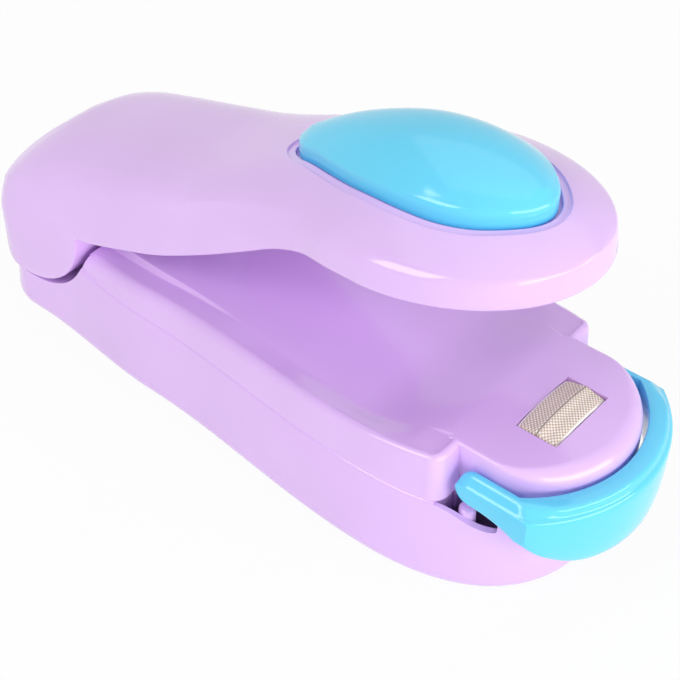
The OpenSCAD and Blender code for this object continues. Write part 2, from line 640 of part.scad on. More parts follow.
// Lower edge, crease and ridge line of the lever seen from the side
low_knots = [[-37, 23.1], [-35, 23.4], [-26, 26.3], [-19, 28.7], [-9, 33.6], [-1, 38.3],
  [5, 42], [11, 44.7], [17, 46.2], [28, 47.3], [47.1, 49]];
rim_knots = [[-59.6, 20.4], [-52, 22.6], [-45, 24.6], [-35, 27.2], [-26, 30.1], [-19, 32.6], [-9, 37.6],
  [-1, 42.4], [5, 42 + rim_h], [11, 44.6 + rim_h], [17, 46.2 + rim_h], [28, 47.3 + rim_h],
  [47.1, 49 + rim_h]];
top_knots = [[-59.6, 29.4], [-51, 32.6], [-39, 36.2], [-27.5, 39.3], [-16.5, 42.6], [-4.5, 47.6],
  [6, 52.5], [16, 55.8], [24, 57], [33, 56.9], [41, 55.6], [47.1, 53.6]];
function lobe_low(x, r) = hinge_h - sqrt(max(0, r ^ 2 - (x - hinge_x) ^ 2));
function low_h(x) = x < -37 ? lobe_low(x, lobe_r) : curve(low_knots, x);
function rim_top(x) = curve(rim_knots, x);
function ridge_top(x) = curve(top_knots, x);
// The section changes from a rounded box at the shank to a shallow dome at the head
function box_p(x) = mix(2, 3.2, ease(-58, -44, x));
function headness(x) = ease(-8, 14, x);
function dome(x, s) =
  let (box = max(0, 1 - s ^ box_p(x)) ^ (1 / box_p(x))) mix(box, 1 - s ^ 2, headness(x));
spine_rear = -50;
head_lean = 0.4;
function lever_line(d) = let (a = inset(lever_half, d), b = inset(lever_half, d + head_lean))
  [for (i = [0 : len(a) - 1]) mix(a[i], b[i], ease(-12, 10, a[i][0]))];
function lever_ring(d, a, drop) = [for (p = whole(lever_line(d)))
  let (s = cos(a) ^ (2 / box_p(p[0])), x = max(p[0], mix(spine_rear, p[0], s)))
  [x, p[1] * s, mix(rim_top(p[0]), ridge_top(x), dome(p[0], s)) - drop * (1 + thick(p[0]))]];
function thick(x) = 0.7 * ease(-16, -4, x);
section_angles = [0, 13, 26, 40, 54, 68, 81];
module lever_outer() skin(concat(
  [[for (p = whole(lever_half)) [p[0], p[1], low_h(p[0])]]],
  [for (a = section_angles) lever_ring(0, a, 0)]));
module lever_cavity() skin(concat(
  [[for (p = whole(inset(lever_half, wall)))
    [p[0], p[1], p[0] < -36.6 ? lobe_low(p[0], lobe_r - wall) : low_h(p[0]) - 1]]],
  [for (a = section_angles) lever_ring(wall, a, wall + 0.1)]));
// Turns a shape drawn for the pressed lever back to the open lever
module from_closed() {
  translate([hinge_x, 0, hinge_h]) rotate([0, -close_deg, 0])
    translate([-hinge_x, 0, -hinge_h]) children();
}
strip_z = nose_h + ridge_h + 0.15;
strip_h_full = 2.2;
strip_l = 13;
strip_w = 7;
spring_x = -20;
spring_z = deck_h;
spring_len = ridge_top(spring_x) - wall - 1 - spring_z;
module lever_ribs() {
  for (s = [-1, 1]) translate([hinge_x - 5, s * rib_y - rib_t / 2, 0]) cube([10, rib_t, 60]);
  translate([spring_x, 0, spring_z + spring_len]) cylinder(r = 4, h = 20, $fn = 48);
  translate([post_x - 1.2, -post_w / 2, post_z]) cube([2.4, post_w, 40]);
  from_closed() translate([wire_x - strip_w / 2 - 1, -strip_l / 2 - 1, strip_z + strip_h_full])
    cube([strip_w + 2, strip_l + 2, 20]);
}
module lever() color(lilac) difference() {
  union() {
    difference() {
      lever_outer();
      difference() {
        lever_cavity();
        lever_ribs();
      }
    }
    translate([post_x - 1.2, -post_w / 2, post_z]) cube([2.4, post_w, 14]);
    intersection() {
      from_closed() translate([wire_x - strip_w / 2 - 1, -strip_l / 2 - 1, strip_z + 1.2])
        cube([strip_w + 2, strip_l + 2, 3.2]);
      linear_extrude(60) polygon(whole(inset(lever_half, 1.2)));
    }
    translate([spring_x, 0, spring_z + spring_len - 1.3]) cylinder(r = 1.7, h = 3, $fn = 32);
  }
  pad_recess();
  translate([hinge_x, 0, hinge_h]) rotate([90, 0, 0])
    cylinder(r = pin_r + pin_fit, h = 2 * ear_y + 4, center = true, $fn = 32);
  for (s = [-1, 1]) translate([hinge_x - ear_r - 0.8, s * ear_y - ear_t / 2 - 0.4, 0])
    cube([2 * ear_r + 5, ear_t + 0.8, 18]);
  from_closed() translate([wire_x - strip_w / 2 - 0.05, -strip_l / 2 - 0.05, strip_z])
    cube([strip_w + 0.1, strip_l + 0.1, strip_h_full]);
}
module pressure_strip() color([0.85, 0.85, 0.82])
  from_closed() translate([wire_x - strip_w / 2, -strip_l / 2, strip_z])
    cube([strip_w, strip_l, strip_h_full]);
module return_spring() color(steel)
  translate([spring_x, 0, spring_z]) coil(2.8, 2.8, spring_len, 7, 0.7);

// Thumb pad: a leaf outline laid over the dome of the lever
leaf = [[-4.6, 0], [-3.8, 2.5], [-1, 5], [3, 6.7], [8, 8.6], [15, 10.6], [22, 11.5], [28, 11.2],
  [33, 9.6], [37, 6.8], [39.8, 3.5], [40.8, 0]];
function knot(i) = i < 0 ? mirrored(leaf[1]) : i >= len(leaf) ? mirrored(leaf[len(leaf) - 2]) : leaf[i];
function spline(i, t) = let (a = knot(i - 1), b = knot(i), c = knot(i + 1), d = knot(i + 2))
  0.5 * (2 * b + t * (c - a) + t ^ 2 * (2 * a - 5 * b + 4 * c - d) + t ^ 3 * (3 * b - a - 3 * c + d));
leaf_half = concat([for (i = [0 : len(leaf) - 2], k = [0, 1]) spline(i, k / 2)], [leaf[len(leaf) - 1]]);
function lever_top(x, y) = let (s = min(1, abs(y) / (lever_y(x) - 0.4)))
  mix(rim_top(x), ridge_top(x), dome(x, s));
function leaf_ring(d, s, rise, crown = 0) = [for (p = whole(inset(leaf_half, d)))
  let (x = mix(pad_mid, p[0], mix(0.9, 1, s)), bump = 1 - ((x - pad_mid) / 23.5) ^ 2)
  [x, p[1] * s, lever_top(x, p[1] * s) + rise + crown * (1 - s ^ 2) * max(0, bump)]];
module pad_recess() skin([
  leaf_ring(pad_ledge, 0.3, -pad_depth), leaf_ring(pad_ledge, 0.65, -pad_depth),
  leaf_ring(pad_ledge, 1, -pad_depth), leaf_ring(pad_ledge, 1, -ledge_depth),
  leaf_ring(0, 1, -ledge_depth), leaf_ring(0, 1, 6)]);
pad_edge_r = 0.6;
pad_mid = 18;
pad_seat = 0.15 - pad_depth;
pad_in = pad_ledge + pad_gap;
module thumb_pad() color(sky) skin([
  leaf_ring(pad_in, 0.3, pad_seat), leaf_ring(pad_in, 0.65, pad_seat),
  leaf_ring(pad_in, 1, pad_seat), leaf_ring(pad_in, 1, pad_proud - pad_edge_r),
  leaf_ring(pad_in + 0.2, 1, pad_proud - 0.15), leaf_ring(pad_in + pad_edge_r, 1, pad_proud + 0.15),
  for (s = [0.85, 0.65, 0.45, 0.25]) leaf_ring(pad_in + pad_edge_r, s, pad_proud + 0.15, pad_crown)]);

// Safety clip: two arms and a band, swept along the U round the nose
arm_in = nose_w / 2 + clip_gap;
arm_out = arm_in + arm_t;
bend_in = clip_x + 5.7;
bend_out = clip_x + 8.6;
band_in = nose_tip + 0.5;
band_out = band_in + band_t;
clip_top = clip_h + arm_h / 2;
arm_low = clip_h - arm_h / 2;
skirt_low = clip_top - skirt_h;
function arc_r(x, y, tip) = ((tip - x) ^ 2 + y ^ 2) / (2 * (tip - x));
function arc_at(x, y, tip, t) = let (r = arc_r(x, y, tip), a = asin(y / r) * (1 - t))
  [tip - r + r * cos(a), r * sin(a)];
clip_path = concat(
  [[[clip_x, arm_in], [clip_x, arm_out], 0], [[clip_x + 3, arm_in], [clip_x + 4.3, arm_out], 0]],
  [for (k = [0 : 9]) let (t = k / 9)
    [arc_at(bend_in, arm_in, band_in, t), arc_at(bend_out, arm_out, band_out, t), t]]);
function clip_section(st) =
  let (i = st[0], o = st[1], b = share(0, 0.3, st[2]), low = mix(arm_low, skirt_low, 1 - (1 - st[2]) ^ 3.7))
  let (g = mix(0.35, 1, b))
  [for (q = [[0, clip_top - 0.3], [0.08, clip_top], [0.72, clip_top], [0.78, clip_top - 0.3],
      [0.79, clip_top - 1.3 * g], [0.9, clip_top - 1.6 * g], [0.985, clip_top - 2.2 * g],
      [1, clip_top - 3.1 * g], [mix(1, 0.8, b), low + 0.4], [mix(0.9, 0.72, b), low],
      [mix(0.1, 0.36, b), low], [mix(0, 0.28, b), low + 0.4], [0, mix(arm_low + 1, clip_h - 2, b)]])
    let (p = mix(i, o, q[0])) [p[0], p[1], q[1]]];
clip_rows = concat(
  [for (st = clip_path) clip_section(st)],
  [for (k = [len(clip_path) - 2 : -1 : 0]) [for (p = clip_section(clip_path[k])) [p[0], -p[1], p[2]]]]);
module clip_band() {
  n = len(clip_rows[0]);
  m = len(clip_rows);
  walls = [for (j = [0 : m - 2], i = [0 : n - 1], k = [0, 1])
    let (a = j * n + i, b = j * n + (i + 1) % n, c = a + n, e = b + n)
    k == 0 ? [a, b, e] : [a, e, c]];
  ends = [[for (i = [n - 1 : -1 : 0]) i], [for (i = [0 : n - 1]) (m - 1) * n + i]];
  polyhedron(points = [for (r = clip_rows) each r], faces = concat(walls, ends));
}
module safety_clip() color(sky) {
  clip_band();
  for (s = [-1, 1]) translate([clip_x, s > 0 ? arm_out : -arm_in, clip_h]) rotate([90, 0, 0])
    cylinder(r = arm_h / 2, h = arm_t, $fn = 48);
  for (s = [-1, 1]) translate([clip_x, s > 0 ? arm_in + 0.5 : -nose_w / 2 + 1.6, clip_h])
    rotate([90, 0, 0]) cylinder(r = boss_r, h = clip_gap + 2.1, $fn = 32);
}

lower_case();
upper_case();
battery_door();
near_cell();
far_cell();
near_cell_spring();
far_cell_spring();
rear_contact_plate();
front_contact_plates();
heater_block();
heating_wire();
wire_terminals();
sealing_tape();
heater_bracket();
bracket_screws();
switch_upper_blade();
switch_lower_blade();
switch_clamp();
supply_lead();
switch_lead();
return_lead();
case_screws();
hinge_pin();
lever();
return_spring();
thumb_pad();
pressure_strip();
safety_clip();
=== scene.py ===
"""Looks of the handheld heat sealer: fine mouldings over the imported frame, soft studio light."""

import json
import math

import bmesh
import bpy
import numpy as np
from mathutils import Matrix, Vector


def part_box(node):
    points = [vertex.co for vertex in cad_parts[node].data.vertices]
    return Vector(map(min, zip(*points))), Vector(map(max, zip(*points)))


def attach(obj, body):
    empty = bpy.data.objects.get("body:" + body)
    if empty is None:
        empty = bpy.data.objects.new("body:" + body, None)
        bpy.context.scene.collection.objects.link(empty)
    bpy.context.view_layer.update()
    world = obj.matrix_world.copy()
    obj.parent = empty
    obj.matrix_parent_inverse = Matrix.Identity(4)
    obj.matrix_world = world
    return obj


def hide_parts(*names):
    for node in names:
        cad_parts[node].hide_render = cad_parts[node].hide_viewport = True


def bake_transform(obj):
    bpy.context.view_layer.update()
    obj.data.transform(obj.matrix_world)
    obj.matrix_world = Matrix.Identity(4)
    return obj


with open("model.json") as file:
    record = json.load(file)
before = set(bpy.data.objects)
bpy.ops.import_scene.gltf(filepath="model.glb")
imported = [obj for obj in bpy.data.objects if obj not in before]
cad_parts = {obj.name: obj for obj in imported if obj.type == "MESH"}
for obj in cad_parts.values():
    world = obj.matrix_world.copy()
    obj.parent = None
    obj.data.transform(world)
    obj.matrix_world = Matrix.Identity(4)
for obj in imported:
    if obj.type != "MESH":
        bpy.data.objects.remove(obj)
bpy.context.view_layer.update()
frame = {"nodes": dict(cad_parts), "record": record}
nodes = frame["nodes"]

# Sizes in millimetres, as in the solids. X is a place along the sealer, H a height above the
# table, W a whole width, L a length, T a thickness and R a radius.
MM = 0.001
CASE_REAR, CASE_FRONT = 59.9, 51.6
REAR_W, WAIST_W, FRONT_W = 31.6, 36.4, 43.0
HINGE_W_X, WAIST_X, WIDE_X, FRONT_POWER = -50.0, -21.0, 23.4, 2.4
SEAM_H, SIDE_LEAN, TOP_LEAN = 16.0, 0.9, 0.5
FOOT_R, WALL, SEAM_GROOVE, SEAM_BEND = 3.0, 1.8, 0.3, 0.12
SHOULDER_X, SHOULDER_R, TRAY_REAR = 38.5, 3.5, -40.0
NOSE_H, DECK_H, EDGE_DROP = 24.2, 21.4, 4.9
NOSE_W, NOSE_TIP, NOSE_BEND, NOSE_BACK, NOSE_FOOT = 28.4, 54.7, 42.5, 34.9, 11.5
EDGE_R_REAR, EDGE_R_FRONT, NOSE_EDGE_R, TIP_EDGE_R = 2.6, 1.0, 0.7, 2.6
REAR_CORNER_R, REAR_CROWN = 8.0, 1.0
HINGE_X, HINGE_H, LOBE_R, LOBE_GAP = -51.0, 23.5, 14.0, 1.2
LEVER_REAR_W, LEVER_WAIST_W, HEAD_W, HEAD_L, HEAD_X = 33.0, 30.6, 37.2, 49.2, 22.5
LEVER_CORNER_R, RIM_H, CLOSE_DEG = 7.0, 4.2, 13.5
PAD_CROWN, PAD_GAP, PAD_DEPTH, PAD_PROUD, PAD_MID = 2.7, 0.45, 1.2, 1.8, 18.0
PAD_LEDGE, LEDGE_DEPTH, PAD_R, PAD_LIFT, CROWN_L = 1.2, 0.45, 0.75, 0.15, 47.0
CLIP_X, CLIP_H, ARM_H, ARM_T, CLIP_GAP = 42.0, 18.8, 5.8, 2.3, 0.7
BAND_T, SKIRT_H, BOSS_R = 3.6, 12.0, 1.5
WIRE_X, TAPE_W, TAPE_T, TAPE_L, RIDGE_H = 44.1, 6.6, 0.25, 12.4, 1.1
STRIP_Z, STRIP_H, STRIP_W, STRIP_L = NOSE_H + RIDGE_H + 0.15, 2.2, 7.0, 13.0
EAR_Y, EAR_T, EAR_R, PIN_R, FIT = 8.6, 2.4, 3.4, 1.25, 0.05
SPRING_X, SPRING_TOP = -20.0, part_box("return_spring")[1][2] / MM
POST_X, POST_L, POST_W, POST_Z = -31.0, 2.4, 2.0, 19.4
CEILING = 60.0
SMALL = 48  # sides of small round tools
# Stretches of X over which the case changes
EDGE_SPAN, RAMP_SPAN, TIP_SPAN = (-30, 30), (21, 35.2), (NOSE_BEND, NOSE_TIP - 1.5)


# Curves and outlines
def mix(a, b, t):
    return a + (b - a) * t


def share(a, b, x):
    """How far x is on the way from a to b, from 0 to 1."""
    return min(1.0, max(0.0, (x - a) / (b - a)))


def ease(a, b, x):
    t = share(a, b, x)
    return t * t * (3 - 2 * t)


def curve(knots, x):
    """Smooth curve through [x, value] knots."""
    last = len(knots) - 1
    i = next((k for k in range(last - 1) if x <= knots[k + 1][0]), last - 1)

    def slope(k):
        a, b = knots[max(0, k - 1)], knots[min(last, k + 1)]
        return (b[1] - a[1]) / (b[0] - a[0])

    (x0, v0), (x1, v1) = knots[i], knots[i + 1]
    w, t = x1 - x0, share(x0, x1, x)
    return (
        (2 * t**3 - 3 * t**2 + 1) * v0
        + (t**3 - 2 * t**2 + t) * w * slope(i)
        + (3 * t**2 - 2 * t**3) * v1
        + (t**3 - t**2) * w * slope(i + 1)
    )


def inset(half, d):
    """Half outline moved inwards by d. It runs from the rear centre over +Y to the front."""
    h = np.array(half, float)
    flip = np.array([1.0, -1.0])
    before = np.vstack([h[1] * flip, h[:-1]])
    after = np.vstack([h[1:], h[-2] * flip])
    t = after - before
    t /= np.linalg.norm(t, axis=1)[:, None]
    return h + d * np.stack([t[:, 1], -t[:, 0]], axis=1)


def whole(half):
    """Half outline with its mirror image."""
    h = np.array(half, float)
    return np.vstack([h, h[-2:0:-1] * np.array([1.0, -1.0])])


def flat_end(x, r, y, crown, out, flat=10, corner=12):
    """Half of a bulged end with a round corner, from Y = 0. out is 1 in front, -1 at the rear."""
    e = y - r
    pts = [(x - out * crown * (t * e / y) ** 2, t * e) for t in np.linspace(0, 1, flat + 1)]
    for a in np.radians(np.linspace(0, 90, corner + 1)[1:]):
        bulge = crown * (e / y) ** 2
        pts.append((x - out * (bulge + r * (1 - math.cos(a))), e + r * math.sin(a)))
    return pts


def round_tip(x, l, y, p, n=36):
    """Half of a superellipse of power p, from its side of half width y to its tip at x."""
    pts = []
    for k in range(1, n + 1):
        a = math.pi / 2 * k / n
        c = 0.0 if k == n else math.cos(a)
        pts.append((x - l + l * math.sin(a) ** (2 / p), y * c ** (2 / p)))
    return pts


def ring(points, heights):
    return np.column_stack([points, np.broadcast_to(heights, len(points))])


def case_y(x):
    """Half width of the case at its foot."""
    if x < WAIST_X:
        return mix(REAR_W, WAIST_W, ease(HINGE_W_X, WAIST_X, x)) / 2
    if x < WIDE_X:
        return mix(WAIST_W, FRONT_W, ease(WAIST_X, WIDE_X, x)) / 2
    return FRONT_W / 2 * (1 - share(WIDE_X, CASE_FRONT, x) ** FRONT_POWER) ** (1 / FRONT_POWER)


def side_run(x0, x1, n):
    return [(x, case_y(x)) for x in np.linspace(x0, x1, n + 1)[1:]]


def edge_h(x):
    """Height of the tray's side edges."""
    return NOSE_H - EDGE_DROP * share(SHOULDER_X, HINGE_X + LOBE_R, x)


def edge_r(x):
    """Radius of the tray's side edges."""
    return mix(EDGE_R_REAR, EDGE_R_FRONT, ease(*EDGE_SPAN, x))


def floor_h(x):
    """Height of the tray's floor, which rises to the nose."""
    return mix(DECK_H, NOSE_H, ease(*RAMP_SPAN, x))


def rolled_edge(outline, start, inwards, radius, height, digits):
    """Function that gives the ring at an angle up a rounded edge.

    The edge's radius and height change along the outline. inwards(d) is the outline moved
    inwards by d, and the edge begins at the distance start.
    """
    lines = {}

    def ring_at(a):
        rows = []
        for i, x in enumerate(outline[:, 0]):
            r = radius(x)
            d = round(start + r * (1 - math.cos(a)), digits)
            if d not in lines:
                lines[d] = inwards(d)
            p = lines[d][i]
            rows.append((p[0], p[1], height(x) - r * (1 - math.sin(a))))
        return np.array(rows)

    return ring_at


# Mesh making
def new_object(name, verts, faces):
    mesh = bpy.data.meshes.new(name)
    mesh.from_pydata([tuple(float(c) * MM for c in v) for v in verts], [], faces)
    return placed(name, mesh)


def placed(name, mesh):
    obj = bpy.data.objects.new(name, mesh)
    bpy.context.scene.collection.objects.link(obj)
    return obj


def solid(name, verts, faces):
    """Object whose double points are joined and whose faces look outwards."""
    obj = new_object(name, verts, faces)
    bm = bmesh.new()
    bm.from_mesh(obj.data)
    bmesh.ops.remove_doubles(bm, verts=bm.verts, dist=1e-6)
    bmesh.ops.recalc_face_normals(bm, faces=bm.faces)
    bm.to_mesh(obj.data)
    bm.free()
    return obj


def strip_cap(base, n, up):
    """Faces across a ring that is alike on both sides of Y = 0."""
    faces = []
    for i in range(n // 2):
        f = [base + i, base + i + 1, base + (n - i - 1) % n, base + (n - i) % n]
        f = list(dict.fromkeys(f))
        faces.append(f if up else f[::-1])
    return faces


def skin(name, rings):
    """Solid through rings that are alike on both sides of Y = 0, closed by strips across."""
    n, m = len(rings[0]), len(rings)
    faces = []
    for j in range(m - 1):
        for i in range(n):
            a, b = j * n + i, j * n + (i + 1) % n
            faces.append([a, a + n, b + n, b])
    faces += strip_cap((m - 1) * n, n, False) + strip_cap(0, n, True)
    return solid(name, np.vstack(rings), faces)


def lofted(name, rings):
    """Solid through rings of any form, closed by one flat face at each end."""
    n, m = len(rings[0]), len(rings)
    faces = [
        [j * n + i, j * n + (i + 1) % n, (j + 1) * n + (i + 1) % n, (j + 1) * n + i]
        for j in range(m - 1)
        for i in range(n)
    ]
    faces += [list(range(n))[::-1], list(range((m - 1) * n, m * n))]
    return solid(name, np.vstack(rings), faces)


def prism(points, z0, z1):
    """Solid between two heights from an outline in X and Y."""
    return lofted("tool", [[(p[0], p[1], z) for p in points] for z in (z0, z1)])


def slab(points, y0, y1):
    """Solid between two values of Y from an outline in X and Z."""
    return lofted("tool", [[(p[0], y, p[1]) for p in points] for y in (y0, y1)])


def block(lo, hi):
    return prism([(lo[0], lo[1]), (hi[0], lo[1]), (hi[0], hi[1]), (lo[0], hi[1])], lo[2], hi[2])


def side_block(side, xs, ys, zs):
    """Block at a distance ys from Y = 0, on the near side for -1 and on the far side for 1."""
    y0, y1 = sorted((side * ys[0], side * ys[1]))
    return block((xs[0], y0, zs[0]), (xs[1], y1, zs[1]))


def turned(profile, centre, axis="z", sides=96):
    """Solid turned from a profile of (radius, height) pairs about an axis through centre."""
    a = np.linspace(0, 2 * math.pi, sides, endpoint=False)
    rings = []
    for r, h in profile:
        u, v, w = r * np.cos(a), r * np.sin(a), np.full(sides, h)
        rings.append(np.stack((u, v, w) if axis == "z" else (v, w, u), 1) + np.array(centre))
    return lofted("tool", rings)


def rod(r, start, end, centre, axis="z", sides=SMALL):
    return turned([(r, start), (r, end)], centre, axis, sides)


def hinge_rod(r, half, sides=192):
    """Round bar about the hinge pin's axis, half as long on each side."""
    return rod(r, -half, half, (HINGE_X, 0, HINGE_H), "y", sides)


def combine(base, tools, operation):
    """Joins the tools to base, or takes them off it or keeps what they share."""
    for tool in tools:
        m = base.modifiers.new("solid", "BOOLEAN")
        m.operation, m.object, m.solver = operation, tool, "MANIFOLD"
        mesh = bpy.data.meshes.new_from_object(
            base.evaluated_get(bpy.context.evaluated_depsgraph_get())
        )
        base.modifiers.clear()
        base.data = mesh
        bpy.data.objects.remove(tool)
    return base


def cut(base, *tools):
    return combine(base, tools, "DIFFERENCE")


def join(base, *tools):
    return combine(base, tools, "UNION")


def keep(base, *tools):
    return combine(base, tools, "INTERSECT")


def smooth(obj, angle):
    """Smooth shading with sharp edges where faces meet at more than the angle."""
    obj.data.polygons.foreach_set("use_smooth", [True] * len(obj.data.polygons))
    obj.data.set_sharp_from_angle(angle=math.radians(angle))


def from_closed(obj):
    """Turns a shape drawn for the pressed lever back to the open lever."""
    a = math.radians(CLOSE_DEG)
    co = np.empty(len(obj.data.vertices) * 3)
    obj.data.vertices.foreach_get("co", co)
    co = co.reshape(-1, 3)
    x, z = co[:, 0] - HINGE_X * MM, co[:, 2] - HINGE_H * MM
    co[:, 0] = HINGE_X * MM + x * math.cos(a) - z * math.sin(a)
    co[:, 2] = HINGE_H * MM + x * math.sin(a) + z * math.cos(a)
    obj.data.vertices.foreach_set("co", co.ravel())
    return obj


# Materials
def material(name):
    m = bpy.data.materials.new(name)
    m.use_nodes = True
    tree = m.node_tree
    shader = next(n for n in tree.nodes if n.type == "BSDF_PRINCIPLED")
    place = tree.nodes.new("ShaderNodeTexCoord")
    return m, tree, shader, place.outputs["Object"]


def noise(tree, place, scale, detail=3.0, rough=0.5):
    n = tree.nodes.new("ShaderNodeTexNoise")
    n.inputs["Scale"].default_value = scale
    n.inputs["Detail"].default_value = detail
    n.inputs["Roughness"].default_value = rough
    tree.links.new(place, n.inputs["Vector"])
    return n.outputs["Fac"]


def ramp(tree, fac, stops):
    r = tree.nodes.new("ShaderNodeValToRGB")
    while len(r.color_ramp.elements) < len(stops):
        r.color_ramp.elements.new(0.5)
    for e, (at, colour) in zip(r.color_ramp.elements, stops):
        e.position = at
        e.color = (*colour, 1)
    tree.links.new(fac, r.inputs["Fac"])
    return r.outputs["Color"]


def spread(tree, fac, lo, hi):
    r = tree.nodes.new("ShaderNodeMapRange")
    r.inputs["To Min"].default_value, r.inputs["To Max"].default_value = lo, hi
    tree.links.new(fac, r.inputs["Value"])
    return r.outputs["Result"]


def bump(tree, shader, height, strength, distance, onto=None):
    b = tree.nodes.new("ShaderNodeBump")
    b.inputs["Strength"].default_value = strength
    b.inputs["Distance"].default_value = distance
    tree.links.new(height, b.inputs["Height"])
    if onto:
        tree.links.new(onto, b.inputs["Normal"])
    tree.links.new(b.outputs["Normal"], shader.inputs["Normal"])
    return b.outputs["Normal"]


def mapped(tree, kind, *values):
    """Math node on sockets and numbers."""
    n = tree.nodes.new("ShaderNodeMath")
    n.operation = kind
    for socket, v in zip(n.inputs, values):
        if isinstance(v, (int, float)):
            socket.default_value = v
        else:
            tree.links.new(v, socket)
    return n.outputs[0]


def painted(tree, where, under, colour):
    """Puts a plain colour over the colour under it where the mask is 1."""
    blend = tree.nodes.new("ShaderNodeMix")
    blend.data_type = "RGBA"
    tree.links.new(where, blend.inputs[0])
    tree.links.new(under, blend.inputs[6])
    blend.inputs[7].default_value = (*linear(colour), 1)
    return blend.outputs[2]


def linear(colour):
    """A colour as it is seen, 0 to 255, in the linear values that the shader takes."""
    return tuple(
        (c / 255 / 12.92) if c <= 10 else ((c / 255 + 0.055) / 1.055) ** 2.4 for c in colour
    )


def moulded(name, colour, gloss, vary=0.03):
    """Moulded plastic: faint cloudy colour, orange peel and fine handling marks."""
    m, tree, s, place = material(name)
    base = np.array(linear(colour))
    shades = [(0.3, tuple(base * (1 - vary))), (0.7, tuple(np.minimum(base * (1 + vary), 1)))]
    tree.links.new(ramp(tree, noise(tree, place, 45, 2), shades), s.inputs["Base Color"])
    fine = noise(tree, place, 900, 4, 0.6)
    tree.links.new(spread(tree, fine, gloss - 0.04, gloss + 0.06), s.inputs["Roughness"])
    peel = bump(tree, s, noise(tree, place, 260, 1), 0.06, 0.0004)
    bump(tree, s, fine, 0.05, 0.00008, peel)
    s.inputs["IOR"].default_value = 1.52
    s.inputs["Coat Weight"].default_value = 0.12
    s.inputs["Coat Roughness"].default_value = 0.12
    return m


def metal(name, colour, rough=0.28, scale=1200):
    """Bare metal with fine uneven tarnish."""
    m, tree, s, place = material(name)
    base = np.array(linear(colour))
    n = noise(tree, place, scale, 4, 0.6)
    shades = [(0.3, tuple(base * 0.82)), (0.7, tuple(base))]
    tree.links.new(ramp(tree, n, shades), s.inputs["Base Color"])
    tree.links.new(spread(tree, n, rough - 0.08, rough + 0.12), s.inputs["Roughness"])
    bump(tree, s, n, 0.15, 0.00005)
    s.inputs["Metallic"].default_value = 1.0
    return m


def dull(name, colour, rough, scale=1500, strength=0.25):
    """Ceramic, rubber or lead insulation, with a fine grain."""
    m, tree, s, place = material(name)
    base = np.array(linear(colour))
    n = noise(tree, place, scale, 5, 0.65)
    shades = [(0.25, tuple(base * 0.85)), (0.75, tuple(base))]
    tree.links.new(ramp(tree, n, shades), s.inputs["Base Color"])
    tree.links.new(spread(tree, n, rough - 0.1, rough + 0.1), s.inputs["Roughness"])
    bump(tree, s, n, strength, 0.0001)
    return m


LILAC, SKY = (231, 194, 251), (100, 217, 255)
GAP_TAN, CREAM, THREAD_WHITE = (196, 174, 152), (232, 218, 200), (255, 253, 250)
SELVEDGE_WHITE, FOLD_GREY = (252, 248, 244), (128, 118, 108)
THREAD_PITCH, PITCH_RATIO, SELVEDGE_W, FOLD_W = 0.55, 1.15, 0.28, 0.14


def cloth(name):
    """Woven glass cloth: raised white threads over cream, pale long edges and a dark fold."""
    m, tree, s, place = material(name)
    split = tree.nodes.new("ShaderNodeSeparateXYZ")
    tree.links.new(place, split.inputs["Vector"])
    x, y = split.outputs["X"], split.outputs["Y"]
    pitch = THREAD_PITCH * MM
    u = mapped(tree, "MULTIPLY", x, 2 * math.pi / pitch)
    v = mapped(tree, "MULTIPLY", y, 2 * math.pi / (pitch * PITCH_RATIO))
    weave = mapped(tree, "MULTIPLY", mapped(tree, "SINE", u), mapped(tree, "SINE", v))
    height = mapped(tree, "ADD", mapped(tree, "MULTIPLY", weave, 0.5), 0.5)
    grain = noise(tree, place, 5000, 3)
    threads, fuzz = mapped(tree, "MULTIPLY", height, 0.8), mapped(tree, "MULTIPLY", grain, 0.2)
    dots = mapped(tree, "ADD", threads, fuzz)
    off = mapped(tree, "ABSOLUTE", mapped(tree, "SUBTRACT", x, WIRE_X * MM))
    edge = mapped(tree, "GREATER_THAN", off, (TAPE_W / 2 - SELVEDGE_W) * MM)
    fold = mapped(tree, "LESS_THAN", off, FOLD_W / 2 * MM)
    shades = [(0.3, linear(GAP_TAN)), (0.55, linear(CREAM)), (0.75, linear(THREAD_WHITE))]
    edged = painted(tree, edge, ramp(tree, dots, shades), SELVEDGE_WHITE)
    tree.links.new(painted(tree, fold, edged, FOLD_GREY), s.inputs["Base Color"])
    tree.links.new(spread(tree, grain, 0.5, 0.75), s.inputs["Roughness"])
    bump(tree, s, dots, 0.5, 0.00012)
    return m


looks = {
    "case_plastic": moulded("case_plastic_look", LILAC, 0.1),
    "blue_plastic": moulded("blue_plastic_look", SKY, 0.1),
    "cell_jacket": moulded("cell_jacket_look", (58, 62, 70), 0.3),
    "spring_steel": metal("spring_steel_look", (205, 207, 212)),
    "brass": metal("brass_look", (214, 178, 96), 0.3),
    "heater_ceramic": dull("heater_ceramic_look", (232, 226, 212), 0.7),
    "resistance_wire": metal("resistance_wire_look", (112, 106, 104), 0.5, 2500),
    "glass_cloth": cloth("glass_cloth_look"),
    "silicone": dull("silicone_look", (222, 222, 216), 0.55, 700, 0.15),
    "red_lead": dull("red_lead_look", (196, 52, 44), 0.42, 900, 0.1),
    "black_lead": dull("black_lead_look", (44, 44, 50), 0.42, 900, 0.1),
    "white_lead": dull("white_lead_look", (232, 232, 236), 0.42, 900, 0.1),
}
slot_of = {p["node"]: p["material_slot"] for p in frame["record"]["subparts"]}
for name, obj in nodes.items():
    for material_slot in obj.material_slots:
        material_slot.material = looks[slot_of[name]]
    smooth(obj, 30)


